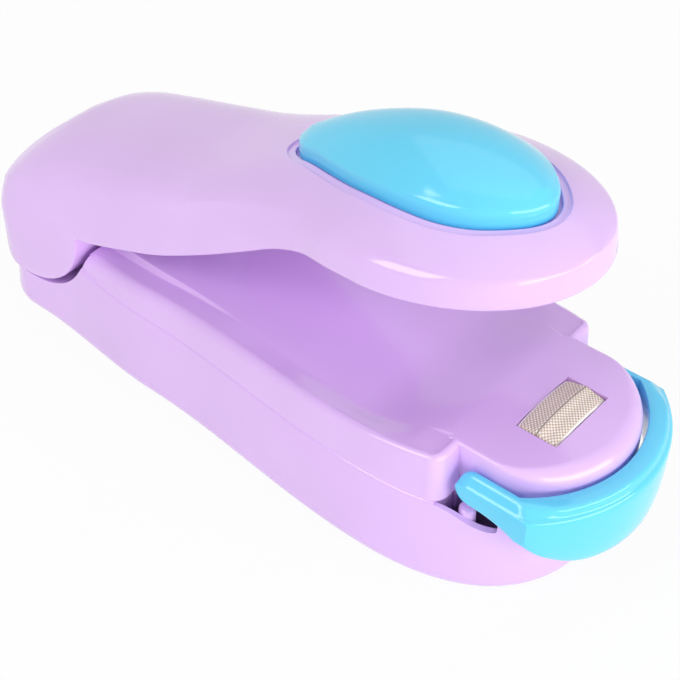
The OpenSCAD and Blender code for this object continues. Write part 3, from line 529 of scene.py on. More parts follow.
def finish_piece(obj, name, angle=32, across=None):
    """Names the piece after its node, gives it the node's look and, without across, the node's
    body, and stands for the node.

    across is two bodies and two points. When it is given, the piece is only fixed in place where
    it stands, and its bodies and points are not used.
    """
    obj.name = name + "_fine"
    obj.data.name = obj.name
    obj.data.materials.clear()
    obj.data.materials.append(looks[slot_of[name]])
    smooth(obj, angle)
    bodies = frame["record"]["behaviour"]["bodies"]
    body = next(b for b, members in bodies.items() if name in members)
    if across:
        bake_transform(obj)
    else:
        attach(obj, body)
    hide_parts(name)
    return obj


# Lever: heights of its lower edge, rim and ridge, and half widths, at places along it
LOW = [[-37, 23.1], [-35, 23.4], [-26, 26.3], [-19, 28.7], [-9, 33.6], [-1, 38.3],
       [5, 42], [11, 44.7], [17, 46.2], [28, 47.3], [47.1, 49]]
RIM = [[-59.6, 20.4], [-52, 22.6], [-45, 24.6], [-35, 27.2], [-26, 30.1], [-19, 32.6],
       [-9, 37.6], [-1, 42.4], [5, 42 + RIM_H], [11, 44.6 + RIM_H], [17, 46.2 + RIM_H],
       [28, 47.3 + RIM_H], [47.1, 49 + RIM_H]]
TOP = [[-59.6, 29.4], [-51, 32.6], [-39, 36.2], [-27.5, 39.3], [-16.5, 42.6], [-4.5, 47.6],
       [6, 52.5], [16, 55.8], [24, 57], [33, 56.9], [41, 55.6], [47.1, 53.6]]
WIDTH = [[-53, LEVER_REAR_W / 2], [-44, LEVER_REAR_W / 2], [-30, LEVER_REAR_W / 2 - 0.15],
         [-18, LEVER_WAIST_W / 2 + 0.5], [-7, LEVER_WAIST_W / 2], [3, LEVER_WAIST_W / 2 + 0.2],
         [10, HEAD_W / 2 - 2.4], [16, HEAD_W / 2 - 0.75], [HEAD_X, HEAD_W / 2]]
LOBE_FRONT, RIDGE_REAR = -37.0, -50.0
LOBE_XS = [-50, -48.5, -47, -45.5, -44, -42.5, -41, -39.6, -38.6, -37.8, -37.4, -37.02, -36.6, -36]
RIM_LEAN, CREASE_DOWN, CREASE_SHARE, HEAD_THICKER, CAVITY_DROP = 0.4, 1.5, 0.4, 0.7, 0.1
REAR_POWER, BOX_POWER = 2, 3.2
BOX_SPAN, THICK_SPAN, LEAN_SPAN, DOME_SPAN = (-58, -44), (-16, -4), (-12, 10), (-8, 14)
FOOT_EDGE = [(0.55, 0.0), (0.22, 0.1), (0.05, 0.32), (0.0, 0.6)]  # inwards and up
CREASE_STEPS = [0, 0.15, 0.3, 0.45, 0.6, 0.75, 0.88]
DOME_STEPS = [0.92, 0.89, 0.855, 0.82, 0.78, 0.73, 0.67, 0.6, 0.52, 0.43, 0.33, 0.22, 0.12, 0.04]
CAVITY_TURNS = [0, 6, 13, 20, 26, 33, 40, 47, 54, 61, 68, 74, 81, 87]


def lever_y(x):
    """Half width of the lever."""
    if x < HEAD_X:
        return curve(WIDTH, x)
    return HEAD_W / 2 * math.sqrt(max(0, 1 - (2 * (x - HEAD_X) / HEAD_L) ** 2))


def lobe_low(x, r):
    return HINGE_H - math.sqrt(max(0, r * r - (x - HINGE_X) ** 2))


def low_h(x):
    """Height of the lever's lower edge."""
    return lobe_low(x, LOBE_R) if x < LOBE_FRONT else curve(LOW, x)


def box_p(x):
    """Power of the section: round at the rear end, boxy from the hinge on."""
    return mix(REAR_POWER, BOX_POWER, ease(*BOX_SPAN, x))


def dome(x, s):
    """Share of the way up from the rim to the ridge, at the share s of the half width."""
    p = box_p(x)
    return mix(max(0, 1 - s**p) ** (1 / p), 1 - s * s, ease(*DOME_SPAN, x))


lever_half = np.array(
    flat_end(-CASE_REAR, LEVER_CORNER_R, LEVER_REAR_W / 2, REAR_CROWN, -1)
    + [(x, lever_y(x)) for x in LOBE_XS]
    + [(x, lever_y(x)) for x in np.linspace(LOBE_XS[-1], HEAD_X, 61)[1:]]
    + round_tip(HEAD_X + HEAD_L / 2, HEAD_L / 2, HEAD_W / 2, 2)
)


def lever_line(d):
    """Outline of the rim moved inwards by d. The head's rim leans in a little."""
    a, b = inset(lever_half, d), inset(lever_half, d + RIM_LEAN)
    t = np.array([ease(*LEAN_SPAN, x) for x in a[:, 0]])[:, None]
    return whole(a + (b - a) * t)


def lever_point(p, s, drop):
    """Point on the dome at the share s of the half width of rim point p, lower by drop."""
    x = max(p[0], mix(RIDGE_REAR, p[0], s))
    thick = 1 + HEAD_THICKER * ease(*THICK_SPAN, p[0])
    return (x, p[1] * s, mix(curve(RIM, p[0]), curve(TOP, x), dome(p[0], s)) - drop * thick)


def lever_outer():
    foot, line = whole(lever_half), lever_line(0)
    rings = []
    for d, up in FOOT_EDGE:
        rows = whole(inset(lever_half, d))
        rings.append([(r[0], r[1], low_h(p[0]) + up) for r, p in zip(rows, foot)])
    lower, crease, upper = [], [], []
    for p, q in zip(foot, line):
        low, rim = low_h(p[0]), curve(RIM, q[0])
        down = min(CREASE_DOWN, CREASE_SHARE * (rim - low))
        t = (rim - down - low) / (rim - low)
        lower.append((mix(p[0], q[0], t), mix(p[1], q[1], t), rim - down))
        crease.append((q[0], q[1], rim))
        upper.append(lever_point(q, DOME_STEPS[0], 0))
    a, b, c = (np.array(v) for v in (lower, crease, upper))
    for t in CREASE_STEPS:
        rings.append((1 - t) ** 2 * a + 2 * t * (1 - t) * b + t * t * c)
    for s in DOME_STEPS:
        rings.append([lever_point(q, s, 0) for q in line])
    return skin("lever", [np.array(r, float) for r in rings])


def lever_cavity():
    line = lever_line(WALL)

    def foot_h(x):
        return lobe_low(x, LOBE_R - WALL) if x < LOBE_FRONT + 0.4 else low_h(x) - 1

    rings = [[(p[0], p[1], foot_h(p[0])) for p in whole(inset(lever_half, WALL))]]
    for turn in CAVITY_TURNS:
        c = math.cos(math.radians(turn))
        rings.append([lever_point(q, c ** (2 / box_p(q[0])), WALL + CAVITY_DROP) for q in line])
    return skin("lever_hollow", [np.array(r, float) for r in rings])


# Leaf-shaped recess and pad
LEAF = np.array([[-4.6, 0], [-3.8, 2.5], [-1, 5], [3, 6.7], [8, 8.6], [15, 10.6], [22, 11.5],
                 [28, 11.2], [33, 9.6], [37, 6.8], [39.8, 3.5], [40.8, 0]])
LEAF_STEPS = 8
RECESS_STEPS = [0.05, 0.3, 0.5, 0.65, 0.8, 0.93, 1]
RECESS_EDGE = [  # inwards and up from the lever's top: wall, ledge, rounded rim, clear above
    (PAD_LEDGE, -LEDGE_DEPTH - 0.3), (PAD_LEDGE - 0.05, -LEDGE_DEPTH - 0.09),
    (PAD_LEDGE - 0.2, -LEDGE_DEPTH), (0.25, -LEDGE_DEPTH), (0.1, -LEDGE_DEPTH + 0.05),
    (0.03, -LEDGE_DEPTH + 0.16), (0, -0.2), (-0.06, -0.06), (-0.22, 0.04), (-0.9, 0.25), (-0.9, 6)]
PAD_FOOT_STEPS = [0.05, 0.3, 0.65, 0.9]
PAD_EDGE_TURNS = [18, 36, 54, 72]
PAD_STEPS = [0.985, 0.96, 0.93, 0.88, 0.82, 0.75, 0.67, 0.58, 0.48, 0.38, 0.27, 0.16, 0.05]


def leaf_outline(n):
    """Catmull-Rom curve through the leaf's points, n steps between two of them."""
    flip = np.array([1, -1])
    k = np.vstack([LEAF[1] * flip, LEAF, LEAF[-2] * flip])
    pts = []
    for i in range(len(LEAF) - 1):
        a, b, c, d = k[i : i + 4]
        for t in np.arange(n) / n:
            pts.append(0.5 * (2 * b + t * (c - a) + t**2 * (2 * a - 5 * b + 4 * c - d)
                              + t**3 * (3 * b - a - 3 * c + d)))
    return np.array(pts + [LEAF[-1]])


leaf_half = leaf_outline(LEAF_STEPS)


def lever_top(x, y):
    s = min(1, abs(y) / (lever_y(x) - RIM_LEAN))
    return mix(curve(RIM, x), curve(TOP, x), dome(x, s))


def leaf_ring(d, s, rise, crown=0):
    """Leaf moved inwards by d and drawn in to the share s, at the height rise over the lever."""
    rows = []
    for p in whole(inset(leaf_half, d)):
        x = mix(PAD_MID, p[0], mix(0.9, 1, s))
        bulge = max(0, 1 - ((x - PAD_MID) / (CROWN_L / 2)) ** 2)
        z = lever_top(x, p[1] * s) + rise + crown * (1 - s**2.6) * bulge
        rows.append((x, p[1] * s, z))
    return np.array(rows)


def pad_recess():
    rings = [leaf_ring(PAD_LEDGE, s, -PAD_DEPTH) for s in RECESS_STEPS]
    return skin("recess", rings + [leaf_ring(d, 1, rise) for d, rise in RECESS_EDGE])


def thumb_pad():
    """Pad with straight sides, a rounded edge of radius PAD_R and a crowned top."""
    seat, d, shoulder = PAD_LIFT - PAD_DEPTH, PAD_LEDGE + PAD_GAP, PAD_PROUD - PAD_R
    rings = [leaf_ring(d, s, seat) for s in PAD_FOOT_STEPS]
    rings += [leaf_ring(d, 1, seat), leaf_ring(d, 1, 0), leaf_ring(d, 1, shoulder)]
    for a in PAD_EDGE_TURNS:
        c, s = math.cos(math.radians(a)), math.sin(math.radians(a))
        rings.append(leaf_ring(d + PAD_R * (1 - c), 1, shoulder + (PAD_R + PAD_LIFT) * s))
    for s in PAD_STEPS:
        rings.append(leaf_ring(d + PAD_R * 0.85, s, PAD_PROUD + PAD_LIFT, PAD_CROWN))
    return skin("pad", rings)


# What is inside the lever
RIB_Y, RIB_T, RIB_L = 5.4, 3.0, 10.0
BOSS_SHELL_R, SPRING_PIN_R = 4.0, 1.7
HOLDER_WALL, HOLDER_LOW, HOLDER_TOP, HOLDER_FAR, HOLDER_INSET = 1.0, 1.2, 4.4, 22.0, 1.2
SWITCH_POST_H, SPRING_PIN_LOW, SPRING_PIN_HIGH = 14.0, 1.3, 1.7
EAR_CLEAR, EAR_CLEAR_T, EAR_SWING, EAR_CUT_H = 0.8, 0.4, 4.2, 18.0


def strip_block(margin, z0, z1):
    """Block round the pressure strip, with heights from the strip's face."""
    x0 = WIRE_X - STRIP_W / 2
    lo = (x0 - margin, -STRIP_L / 2 - margin, STRIP_Z + z0)
    hi = (x0 + STRIP_W + margin, STRIP_L / 2 + margin, STRIP_Z + z1)
    return from_closed(block(lo, hi))


def switch_post(top):
    lo = (POST_X - POST_L / 2, -POST_W / 2, POST_Z)
    return block(lo, (POST_X + POST_L / 2, POST_W / 2, top))


def lever():
    """Hollow lever with ribs at the hinge, spring boss, switch post and strip holder."""
    xs = (HINGE_X - RIB_L / 2, HINGE_X + RIB_L / 2)
    ys = (RIB_Y - RIB_T / 2, RIB_Y + RIB_T / 2)
    ribs = [side_block(s, xs, ys, (0, CEILING)) for s in (-1, 1)]
    ribs.append(rod(BOSS_SHELL_R, SPRING_TOP, CEILING, (SPRING_X, 0, 0), sides=96))
    ribs.append(switch_post(CEILING))
    ribs.append(strip_block(HOLDER_WALL, STRIP_H, HOLDER_FAR))
    body = cut(lever_outer(), cut(lever_cavity(), *ribs))
    holder = strip_block(HOLDER_WALL, HOLDER_LOW, HOLDER_TOP)
    keep(holder, prism(whole(inset(lever_half, HOLDER_INSET)), 0, CEILING))
    low, high = SPRING_TOP - SPRING_PIN_LOW, SPRING_TOP + SPRING_PIN_HIGH
    spring_pin = rod(SPRING_PIN_R, low, high, (SPRING_X, 0, 0))
    join(body, switch_post(POST_Z + SWITCH_POST_H), holder, spring_pin)
    cuts = [pad_recess(), hinge_rod(PIN_R + FIT, EAR_Y + 2, SMALL)]
    xs = (HINGE_X - EAR_R - EAR_CLEAR, HINGE_X + EAR_R + EAR_SWING)
    ys = (EAR_Y - EAR_T / 2 - EAR_CLEAR_T, EAR_Y + EAR_T / 2 + EAR_CLEAR_T)
    cuts += [side_block(s, xs, ys, (0, EAR_CUT_H)) for s in (-1, 1)]
    return cut(body, *cuts, strip_block(FIT, 0, STRIP_H))


finish_piece(lever(), "lever")
finish_piece(thumb_pad(), "thumb_pad", 50)

# Outlines of the two cases and of the nose
TRAY_BULGE, SHOULDER_BULGE, NOSE_BULGE = 0.4, 0.15, 0.2
lower_half = np.array(
    flat_end(-CASE_REAR, REAR_CORNER_R, REAR_W / 2, REAR_CROWN, -1)
    + side_run(-CASE_REAR + 9, WIDE_X, 60)
    + round_tip(CASE_FRONT, CASE_FRONT - WIDE_X, FRONT_W / 2, FRONT_POWER)
)
upper_half = np.array(
    [(TRAY_REAR - TRAY_BULGE * (1 - t * t), t * case_y(TRAY_REAR)) for t in np.linspace(0, 1, 9)]
    + side_run(TRAY_REAR, WIDE_X, 56)
    + [(x, case_y(x)) for x in np.linspace(WIDE_X, SHOULDER_X - SHOULDER_R, 14)[1:-1]]
    + flat_end(SHOULDER_X, SHOULDER_R, case_y(SHOULDER_X - SHOULDER_R), SHOULDER_BULGE, 1)[::-1]
)


def nose_half(d):
    """Half outline of the nose, moved inwards by d."""
    w, tip = NOSE_W / 2 - d, NOSE_TIP - d
    pts = [(NOSE_BACK + d - NOSE_BULGE * (1 - t * t), t * w) for t in np.linspace(0, 1, 9)]
    pts += [(mix(NOSE_BACK + d, NOSE_BEND, k / 8), w) for k in range(1, 9)]
    return np.array(pts + round_tip(tip, tip - NOSE_BEND, w, 2))


def lower_line(d):
    return whole(inset(lower_half, d))


def upper_line(d):
    return whole(inset(upper_half, d))


def nose_line(d):
    return whole(nose_half(d))


# Lower case: the notch under the clip's foot, the pocket behind it, and the battery door's bay
POCKET_X0, POCKET_X1, POCKET_Y, POCKET_Z, POCKET_RIM = 36.6, 44.7, 18.6, 5.0, 14.9
POCKET_WALL, POCKET_SIDE_WALL = 1.2, 0.7
NOTCH = [(POCKET_X0, SEAM_H + 1), (POCKET_X0, 15.7), (37.4, 15.6), (38.2, 15.35), (39, 15),
         (39.8, 14.55), (40.6, 14.05), (41.4, 13.55), (42.2, 13.1), (43, 12.72), (43.8, 12.45),
         (44.4, 12.35), (44.7, 12.45), (44.8, 12.7), (44.8, SEAM_H + 1)]
NOTCH_POST_X, NOTCH_POST_Y = CLIP_X - 1.9, NOSE_W / 2 + 1.4
NOTCH_POST = [(1.25, 0), (1.25, POCKET_RIM - 0.3), (1.15, POCKET_RIM), (0.9, POCKET_RIM + 0.2),
              (0.4, POCKET_RIM + 0.3)]
FRONT_DECK, DECK_T, NOSE_GAP = 15.6, 1.6, 0.25
SCREW_X, SCREW_Y, SCREW_R, SCREW_HEAD_R, SCREW_HEAD_H = 28.0, 13.0, 1.3, 2.3, 4.2
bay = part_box("battery_door")
DOOR_X0, DOOR_X1 = bay[0][0] / MM, bay[1][0] / MM
DOOR_W, DOOR_GAP, DOOR_TOP, DOOR_TRAVEL = 27.6, 0.25, 1.7, 6.0
DOOR_ROOF, BAY_HALF, BAY_TOP, BAY_REAR, BAY_FRONT = 0.15, 13.0, 3.4, 1.6, 0.4
TAB_W, TAB_Z, TAB_L, TAB_X, TAB_PITCH, TAB_FIT = 0.8, 0.95, 6.0, 8.0, 18.0, 0.4


def hinge_ears():
    ears = []
    for s in (-1, 1):
        y = s * EAR_Y
        centre = (HINGE_X, y, HINGE_H)
        ears.append(rod(EAR_R, -EAR_T / 2, EAR_T / 2, centre, "y", 96))
        lo = (HINGE_X - EAR_R, y - EAR_T / 2, 0)
        ears.append(block(lo, (HINGE_X + EAR_R, y + EAR_T / 2, HINGE_H)))
    return ears


def door_cuts():
    """Bay of the battery door, its side grooves, the gaps for its tabs and the opening above."""
    half, top, x1 = DOOR_W / 2 + DOOR_GAP, DOOR_TOP + DOOR_ROOF, DOOR_X1 + DOOR_GAP
    x0 = DOOR_X0 - DOOR_TRAVEL - DOOR_GAP
    cuts = [block((x0, -half, -1), (x1, half, top)),
            block((x0, -half - TAB_W, TAB_Z - 0.2), (x1, half + TAB_W, top))]
    for i in range(3):
        x = DOOR_X0 + TAB_X + TAB_PITCH * i - DOOR_TRAVEL - TAB_FIT
        cuts.append(block((x, -half - TAB_W, -1), (x + TAB_L + 2 * TAB_FIT, half + TAB_W, top)))
    lo = (DOOR_X0 + BAY_REAR, -BAY_HALF, 0)
    cuts.append(block(lo, (DOOR_X1 - BAY_FRONT, BAY_HALF, BAY_TOP)))
    return cuts


def pocket_cuts(side):
    """Pocket and notch beside the nose, both with the round post left standing."""
    ys = (NOSE_W / 2 - 1.6, POCKET_Y)
    pocket = side_block(side, (POCKET_X0, POCKET_X1), ys, (POCKET_Z, SEAM_H + 1))
    keep(pocket, prism(lower_line(SIDE_LEAN + POCKET_SIDE_WALL), 0, SEAM_H + 1))
    notch = slab(NOTCH, *sorted((side * (NOSE_W / 2 - 0.2), side * FRONT_W)))
    for tool in (pocket, notch):
        cut(tool, turned(NOTCH_POST, (NOTCH_POST_X, side * NOTCH_POST_Y, 0), sides=SMALL))
    return [pocket, notch]


def lower_case():
    """Tub with rounded foot and leaning sides, trough for the lever's lobe and front deck."""
    rings = [ring(lower_line(FOOT_R * (1 - math.sin(a))), FOOT_R * (1 - math.cos(a)))
             for a in np.radians(np.linspace(0, 90, 10))]
    rings.append(ring(lower_line(SIDE_LEAN * 0.5), 9.5))
    rings.append(ring(lower_line(SIDE_LEAN), SEAM_H - SEAM_GROOVE))
    rings.append(ring(lower_line(SIDE_LEAN + SEAM_BEND), SEAM_H - SEAM_BEND))
    rings.append(ring(lower_line(SIDE_LEAN + SEAM_GROOVE), SEAM_H))
    body = skin("lower", rings)
    hollow = skin("lower_hollow", [
        ring(lower_line(FOOT_R), 2.4),
        ring(lower_line(WALL), FOOT_R + 0.8),
        ring(lower_line(WALL + SIDE_LEAN), SEAM_H + 1)])
    fills = [block((SHOULDER_X - 1, -FRONT_W, FRONT_DECK - DECK_T),
                   (SHOULDER_X + 19, FRONT_W, FRONT_DECK + 3.4)),
             hinge_rod(LOBE_R + LOBE_GAP + WALL, FRONT_W)]
    xs = (POCKET_X0 - POCKET_WALL, POCKET_X1 + POCKET_WALL)
    fills += [side_block(s, xs, (NOSE_W / 2, FRONT_W), (POCKET_Z - 1.4, 30)) for s in (-1, 1)]
    cut(body, cut(hollow, *fills))
    cuts = [cut(hinge_rod(LOBE_R + LOBE_GAP, FRONT_W), *hinge_ears()),
            hinge_rod(PIN_R, FRONT_W / 2, SMALL),
            block((SHOULDER_X + 0.3, -FRONT_W, FRONT_DECK),
                  (SHOULDER_X + 20.3, FRONT_W, FRONT_DECK + 2)),
            prism(whole(inset(nose_half(0), -NOSE_GAP)), NOSE_FOOT - 0.3, SEAM_H + 0.8)]
    cuts += door_cuts()
    for s in (-1, 1):
        cuts += pocket_cuts(s)
        centre = (SCREW_X, s * SCREW_Y, 0)
        cuts.append(rod(SCREW_R, -1, SEAM_H + 1, centre))
        cuts.append(rod(SCREW_HEAD_R, -1, SCREW_HEAD_H, centre))
    return cut(body, *cuts)


finish_piece(lower_case(), "lower_case")

# Upper case
SLOT_X0, SLOT_X1, SLOT_W = 40.7, 47.5, 12.8
LEAN = SIDE_LEAN + TOP_LEAN
BRACKET_POST_R, BRACKET_POST_Y, BRACKET_POST_Z = 1.9, 10.2, 19.5
CLAMP_SEAT = (-15.2, -2.5, 19.2), (-10.8, 2.5, DECK_H - 0.7)
LEAD_WAY = (NOSE_BACK - 2, -11, 0), (NOSE_BACK + 4, 11, 20)
POST_HOLE = ((POST_X - 3.2, -POST_W / 2 - 0.5, DECK_H - 3),
             (POST_X + 2.8, POST_W / 2 + 0.5, DECK_H + 1))
TRAY_TAPER = 0.97
DISH_EDGE, DISH_STEP, DISH_FLOOR = 0.78, 0.765, 0.735
DISH_STEPS = [0.985, 0.96, 0.93, 0.9, 0.87, 0.84, 0.81, 0.79, 0.78, 0.768, 0.762, 0.756, 0.75,
              0.744, 0.738, 0.732, 0.7, 0.6, 0.5, 0.4, 0.3, 0.2, 0.1, 0.03]


def dish(s, x):
    """Height inside the tray at the share s of its half width."""
    strip, floor, edge = min(edge_h(x), floor_h(x)), floor_h(x), edge_h(x)
    if s > DISH_EDGE:
        return mix(strip, edge, ease(DISH_EDGE, 1, s) * 0.55 + share(DISH_EDGE, 1, s) * 0.45)
    return mix(floor, strip, ease(DISH_FLOOR, DISH_STEP, s))


def nose_skin():
    plain = nose_line(0)
    edge = rolled_edge(plain, 0.0, nose_line,
                       lambda x: mix(NOSE_EDGE_R, TIP_EDGE_R, ease(*TIP_SPAN, x)),
                       lambda x: NOSE_H, 4)
    rings = [ring(plain, NOSE_FOOT), ring(plain, NOSE_FOOT + 5)]
    return skin("nose", rings + [edge(a) for a in np.radians(np.linspace(0, 90, 10))])


def tray_skin():
    """Sides with rounded edges and the dished floor between them."""
    edge = rolled_edge(whole(upper_half), LEAN, upper_line, edge_r, edge_h, 3)
    rings = [ring(upper_line(SIDE_LEAN + SEAM_GROOVE), SEAM_H),
             ring(upper_line(SIDE_LEAN + SEAM_BEND), SEAM_H + SEAM_BEND),
             ring(upper_line(SIDE_LEAN), SEAM_H + SEAM_GROOVE)]
    rings += [edge(a) for a in np.radians(np.linspace(0, 90, 9))]
    top, inner = rings[-1], upper_line(LEAN + 1)
    for s in DISH_STEPS:
        t = share(0.9, 1, s)
        near = t * t
        rows = []
        for p, q in zip(inner, top):
            x = p[0] * mix(TRAY_TAPER, 1, s)
            rows.append((mix(x, q[0], near), mix(p[1] * s, q[1], near), dish(s, x)))
        rings.append(np.array(rows))
    return skin("upper", rings)


def tray_hollow():
    def dished(s):
        rows = []
        for p in upper_line(LEAN + WALL + 1):
            x = p[0] * mix(TRAY_TAPER, 1, s)
            rows.append((x, p[1] * s, dish(s, x) - WALL))
        return np.array(rows)

    under_edge = np.array([(p[0], p[1], edge_h(p[0]) - WALL - edge_r(p[0]) * 0.36)
                           for p in upper_line(LEAN + WALL)])
    rings = [ring(upper_line(SIDE_LEAN + WALL), SEAM_H - 1), under_edge]
    return skin("upper_hollow", rings + [dished(s) for s in (0.86, DISH_FLOOR, 0.3, 0.03)])


def upper_case():
    """Tray and nose with screw posts, spring pin, heater slot and windows into the notches."""
    hollow = cut(tray_hollow(), hinge_rod(LOBE_R + LOBE_GAP + WALL, FRONT_W))
    body = cut(tray_skin(), hollow)
    join(body, cut(nose_skin(), prism(nose_line(WALL), NOSE_FOOT - 1, NOSE_H - WALL)))
    posts = [rod(BRACKET_POST_R, BRACKET_POST_Z, NOSE_H - 1, (WIRE_X, s * BRACKET_POST_Y, 0))
             for s in (-1, 1)]
    posts.append(block(*CLAMP_SEAT))
    spring_pin = [(SPRING_PIN_R, DECK_H - 0.5), (SPRING_PIN_R, DECK_H + 1), (1.4, DECK_H + 1.3)]
    posts.append(turned(spring_pin, (SPRING_X, 0, 0), sides=SMALL))
    join(body, *posts)
    cuts = [hinge_rod(LOBE_R + LOBE_GAP, FRONT_W),
            block(*LEAD_WAY), block(*POST_HOLE),
            block((SLOT_X0, -SLOT_W / 2, NOSE_H - 3), (SLOT_X1, SLOT_W / 2, NOSE_H + 1)),
            rod(BOSS_R + FIT, -FRONT_W / 2, FRONT_W / 2, (CLIP_X, 0, CLIP_H), "y")]
    xs, ys = (POCKET_X0 + 0.6, POCKET_X1 - 0.2), (NOSE_W / 2 - WALL - 0.6, NOSE_W / 2 + 1)
    cuts += [side_block(s, xs, ys, (NOSE_FOOT - 1, SEAM_H - 0.7)) for s in (-1, 1)]
    return cut(body, *cuts)


finish_piece(upper_case(), "upper_case")

# Safety clip. Outer half of each section: share of the thickness, depth under the top, share
# of the way down to the lower edge.
BAND = [(0, 0.35, 0), (0.03, 0.1, 0), (0.1, 0, 0), (0.35, 0, 0), (0.58, 0, 0), (0.68, 0.05, 0),
        (0.75, 0.2, 0), (0.79, 0.48, 0), (0.8, 0.85, 0), (0.812, 1.12, 0), (0.845, 1.35, 0),
        (0.9, 1.48, 0), (0.95, 1.64, 0), (0.985, 1.92, 0), (1, 2.35, 0), (1, 2.35, 0.1),
        (0.99, 2.35, 0.3), (0.965, 2.35, 0.5), (0.92, 2.35, 0.7), (0.86, 2.35, 0.86),
        (0.8, 2.35, 0.965), (0.74, 2.35, 1), (0.5, 2.35, 1), (0.34, 2.35, 0.99),
        (0.28, 2.35, 0.96), (0.2, 2.35, 0.86), (0.05, 2.35, 0.66), (0, 2.35, 0.5)]
ARM = [(0, 0.35, 0), (0.03, 0.1, 0), (0.1, 0, 0), (0.24, 0, 0), (0.31, 0.04, 0), (0.38, 0.13, 0),
       (0.45, 0.27, 0), (0.52, 0.46, 0), (0.66, 0.9, 0), (0.78, 1.28, 0), (0.85, 1.46, 0),
       (0.9, 1.54, 0), (0.95, 1.64, 0), (0.985, 1.84, 0), (1, 2.15, 0), (1, 2.25, 0.1),
       (1, 2.35, 0.3), (1, 2.35, 0.5), (1, 2.35, 0.7), (0.99, 2.35, 0.86), (0.94, 2.35, 0.97),
       (0.84, 2.35, 1), (0.5, 2.35, 1), (0.16, 2.35, 1), (0.06, 2.35, 0.97), (0, 2.35, 0.8),
       (0, 2.35, 0.35), (0, 2.35, 0)]
ARM_IN, ARM_OUT = NOSE_W / 2 + CLIP_GAP, NOSE_W / 2 + CLIP_GAP + ARM_T
BAND_IN, BAND_OUT = NOSE_TIP + 0.5, NOSE_TIP + 0.5 + BAND_T
CLIP_TOP = CLIP_H + ARM_H / 2
SKIRT_LOW = CLIP_TOP - SKIRT_H
ARM_FOOT, ARM_REAR, ARM_ROUND, FOOT_SINK = 17.1, 38.6, 2.3, 1.8
ARM_END_IN, ARM_END_OUT = CLIP_X + 5.1, CLIP_X + 6.9
BEND_IN, BEND_OUT = CLIP_X + 5.7, CLIP_X + 8.6
ROUND_STEPS, ARM_STEPS, BEND_STEPS = 8, 7, 34
DEEPEN_POWER, SINK_POWER, BAND_START = 3.7, 2.4, 0.3


def arc_at(x, y, tip, t):
    """Point at the share t of the arc from (x, y) to the tip on Y = 0."""
    r = ((tip - x) ** 2 + y * y) / (2 * (tip - x))
    a = math.asin(y / r) * (1 - t)
    return np.array([tip - r + r * math.cos(a), r * math.sin(a)])


def clip_section(i, o, t, shrink=1.0, sink=0.0):
    """Section from inner place i to outer place o, from the arm (t = 0) to mid-band (t = 1)."""
    b = ease(0, BAND_START, t)
    low = mix(ARM_FOOT - sink, SKIRT_LOW, 1 - (1 - t) ** DEEPEN_POWER)
    mid = (CLIP_TOP + ARM_FOOT) / 2
    rows = []
    for (qa, da, fa), (qb, db, fb) in zip(ARM, BAND):
        q, d, f = mix(qa, qb, b), mix(da, db, b), mix(fa, fb, b)
        q = 0.5 + (q - 0.5) * mix(0.7, 1, shrink)
        z = mix(CLIP_TOP - d, low, f)
        rows.append((*(i + (o - i) * q), mid + (z - mid) * shrink))
    return rows


def safety_clip():
    """Rounded arm ends, arms that sink into the notches, band round the nose, and pivot pins."""
    rows = []
    for k in range(1, ROUND_STEPS + 1):
        u = 1 - math.cos(math.pi / 2 * k / ROUND_STEPS)
        x = ARM_REAR + ARM_ROUND * u
        i, o = np.array([x, ARM_IN]), np.array([x, ARM_OUT])
        rows.append(clip_section(i, o, 0, math.sqrt(1 - (1 - u) ** 2)))
    x0 = ARM_REAR + ARM_ROUND
    for k in range(1, ARM_STEPS + 1):
        t = k / ARM_STEPS
        i = np.array([mix(x0, ARM_END_IN, t), ARM_IN])
        o = np.array([mix(x0, ARM_END_OUT, t), ARM_OUT])
        rows.append(clip_section(i, o, 0, 1, FOOT_SINK * t**SINK_POWER))
    for t in np.linspace(0, 1, BEND_STEPS):
        i, o = arc_at(BEND_IN, ARM_IN, BAND_IN, t), arc_at(BEND_OUT, ARM_OUT, BAND_OUT, t)
        rows.append(clip_section(i, o, t, 1, FOOT_SINK))
    rows += [[(p[0], -p[1], p[2]) for p in row] for row in rows[-2::-1]]
    band = lofted("band", rows)
    for s in (-1, 1):
        y0, y1 = sorted((s * (ARM_IN + 0.5), s * (NOSE_W / 2 - 1.4)))
        join(band, rod(BOSS_R, y0, y1, (CLIP_X, 0, CLIP_H), "y"))
    return band


finish_piece(safety_clip(), "safety_clip", 35)

# Cloth tape: tented over the wire, its long edges down to the nose and its ends bent into the
# slot. SWAY is how far the tape lies under its ridge at places across it.
TAPE_END, TAPE_BEND, TAPE_ARCH = TAPE_L / 2, 0.7, 0.5
SWAY = [[-3.3, 0.97], [-2.9, 0.74], [-2.2, 0.52], [-1.3, 0.37], [-0.45, 0.04], [0, 0],
        [0.45, 0.04], [1.3, 0.37], [2.2, 0.52], [2.9, 0.74], [3.3, 0.97]]
WIRE_BEND, BLOCK_LOWER = 0.5, 0.6


def tape_drop(y):
    """How far the tape's ridge and the wire are lower at y than in the middle."""
    return TAPE_ARCH * (abs(y) / (TAPE_END - TAPE_BEND)) ** 2.2


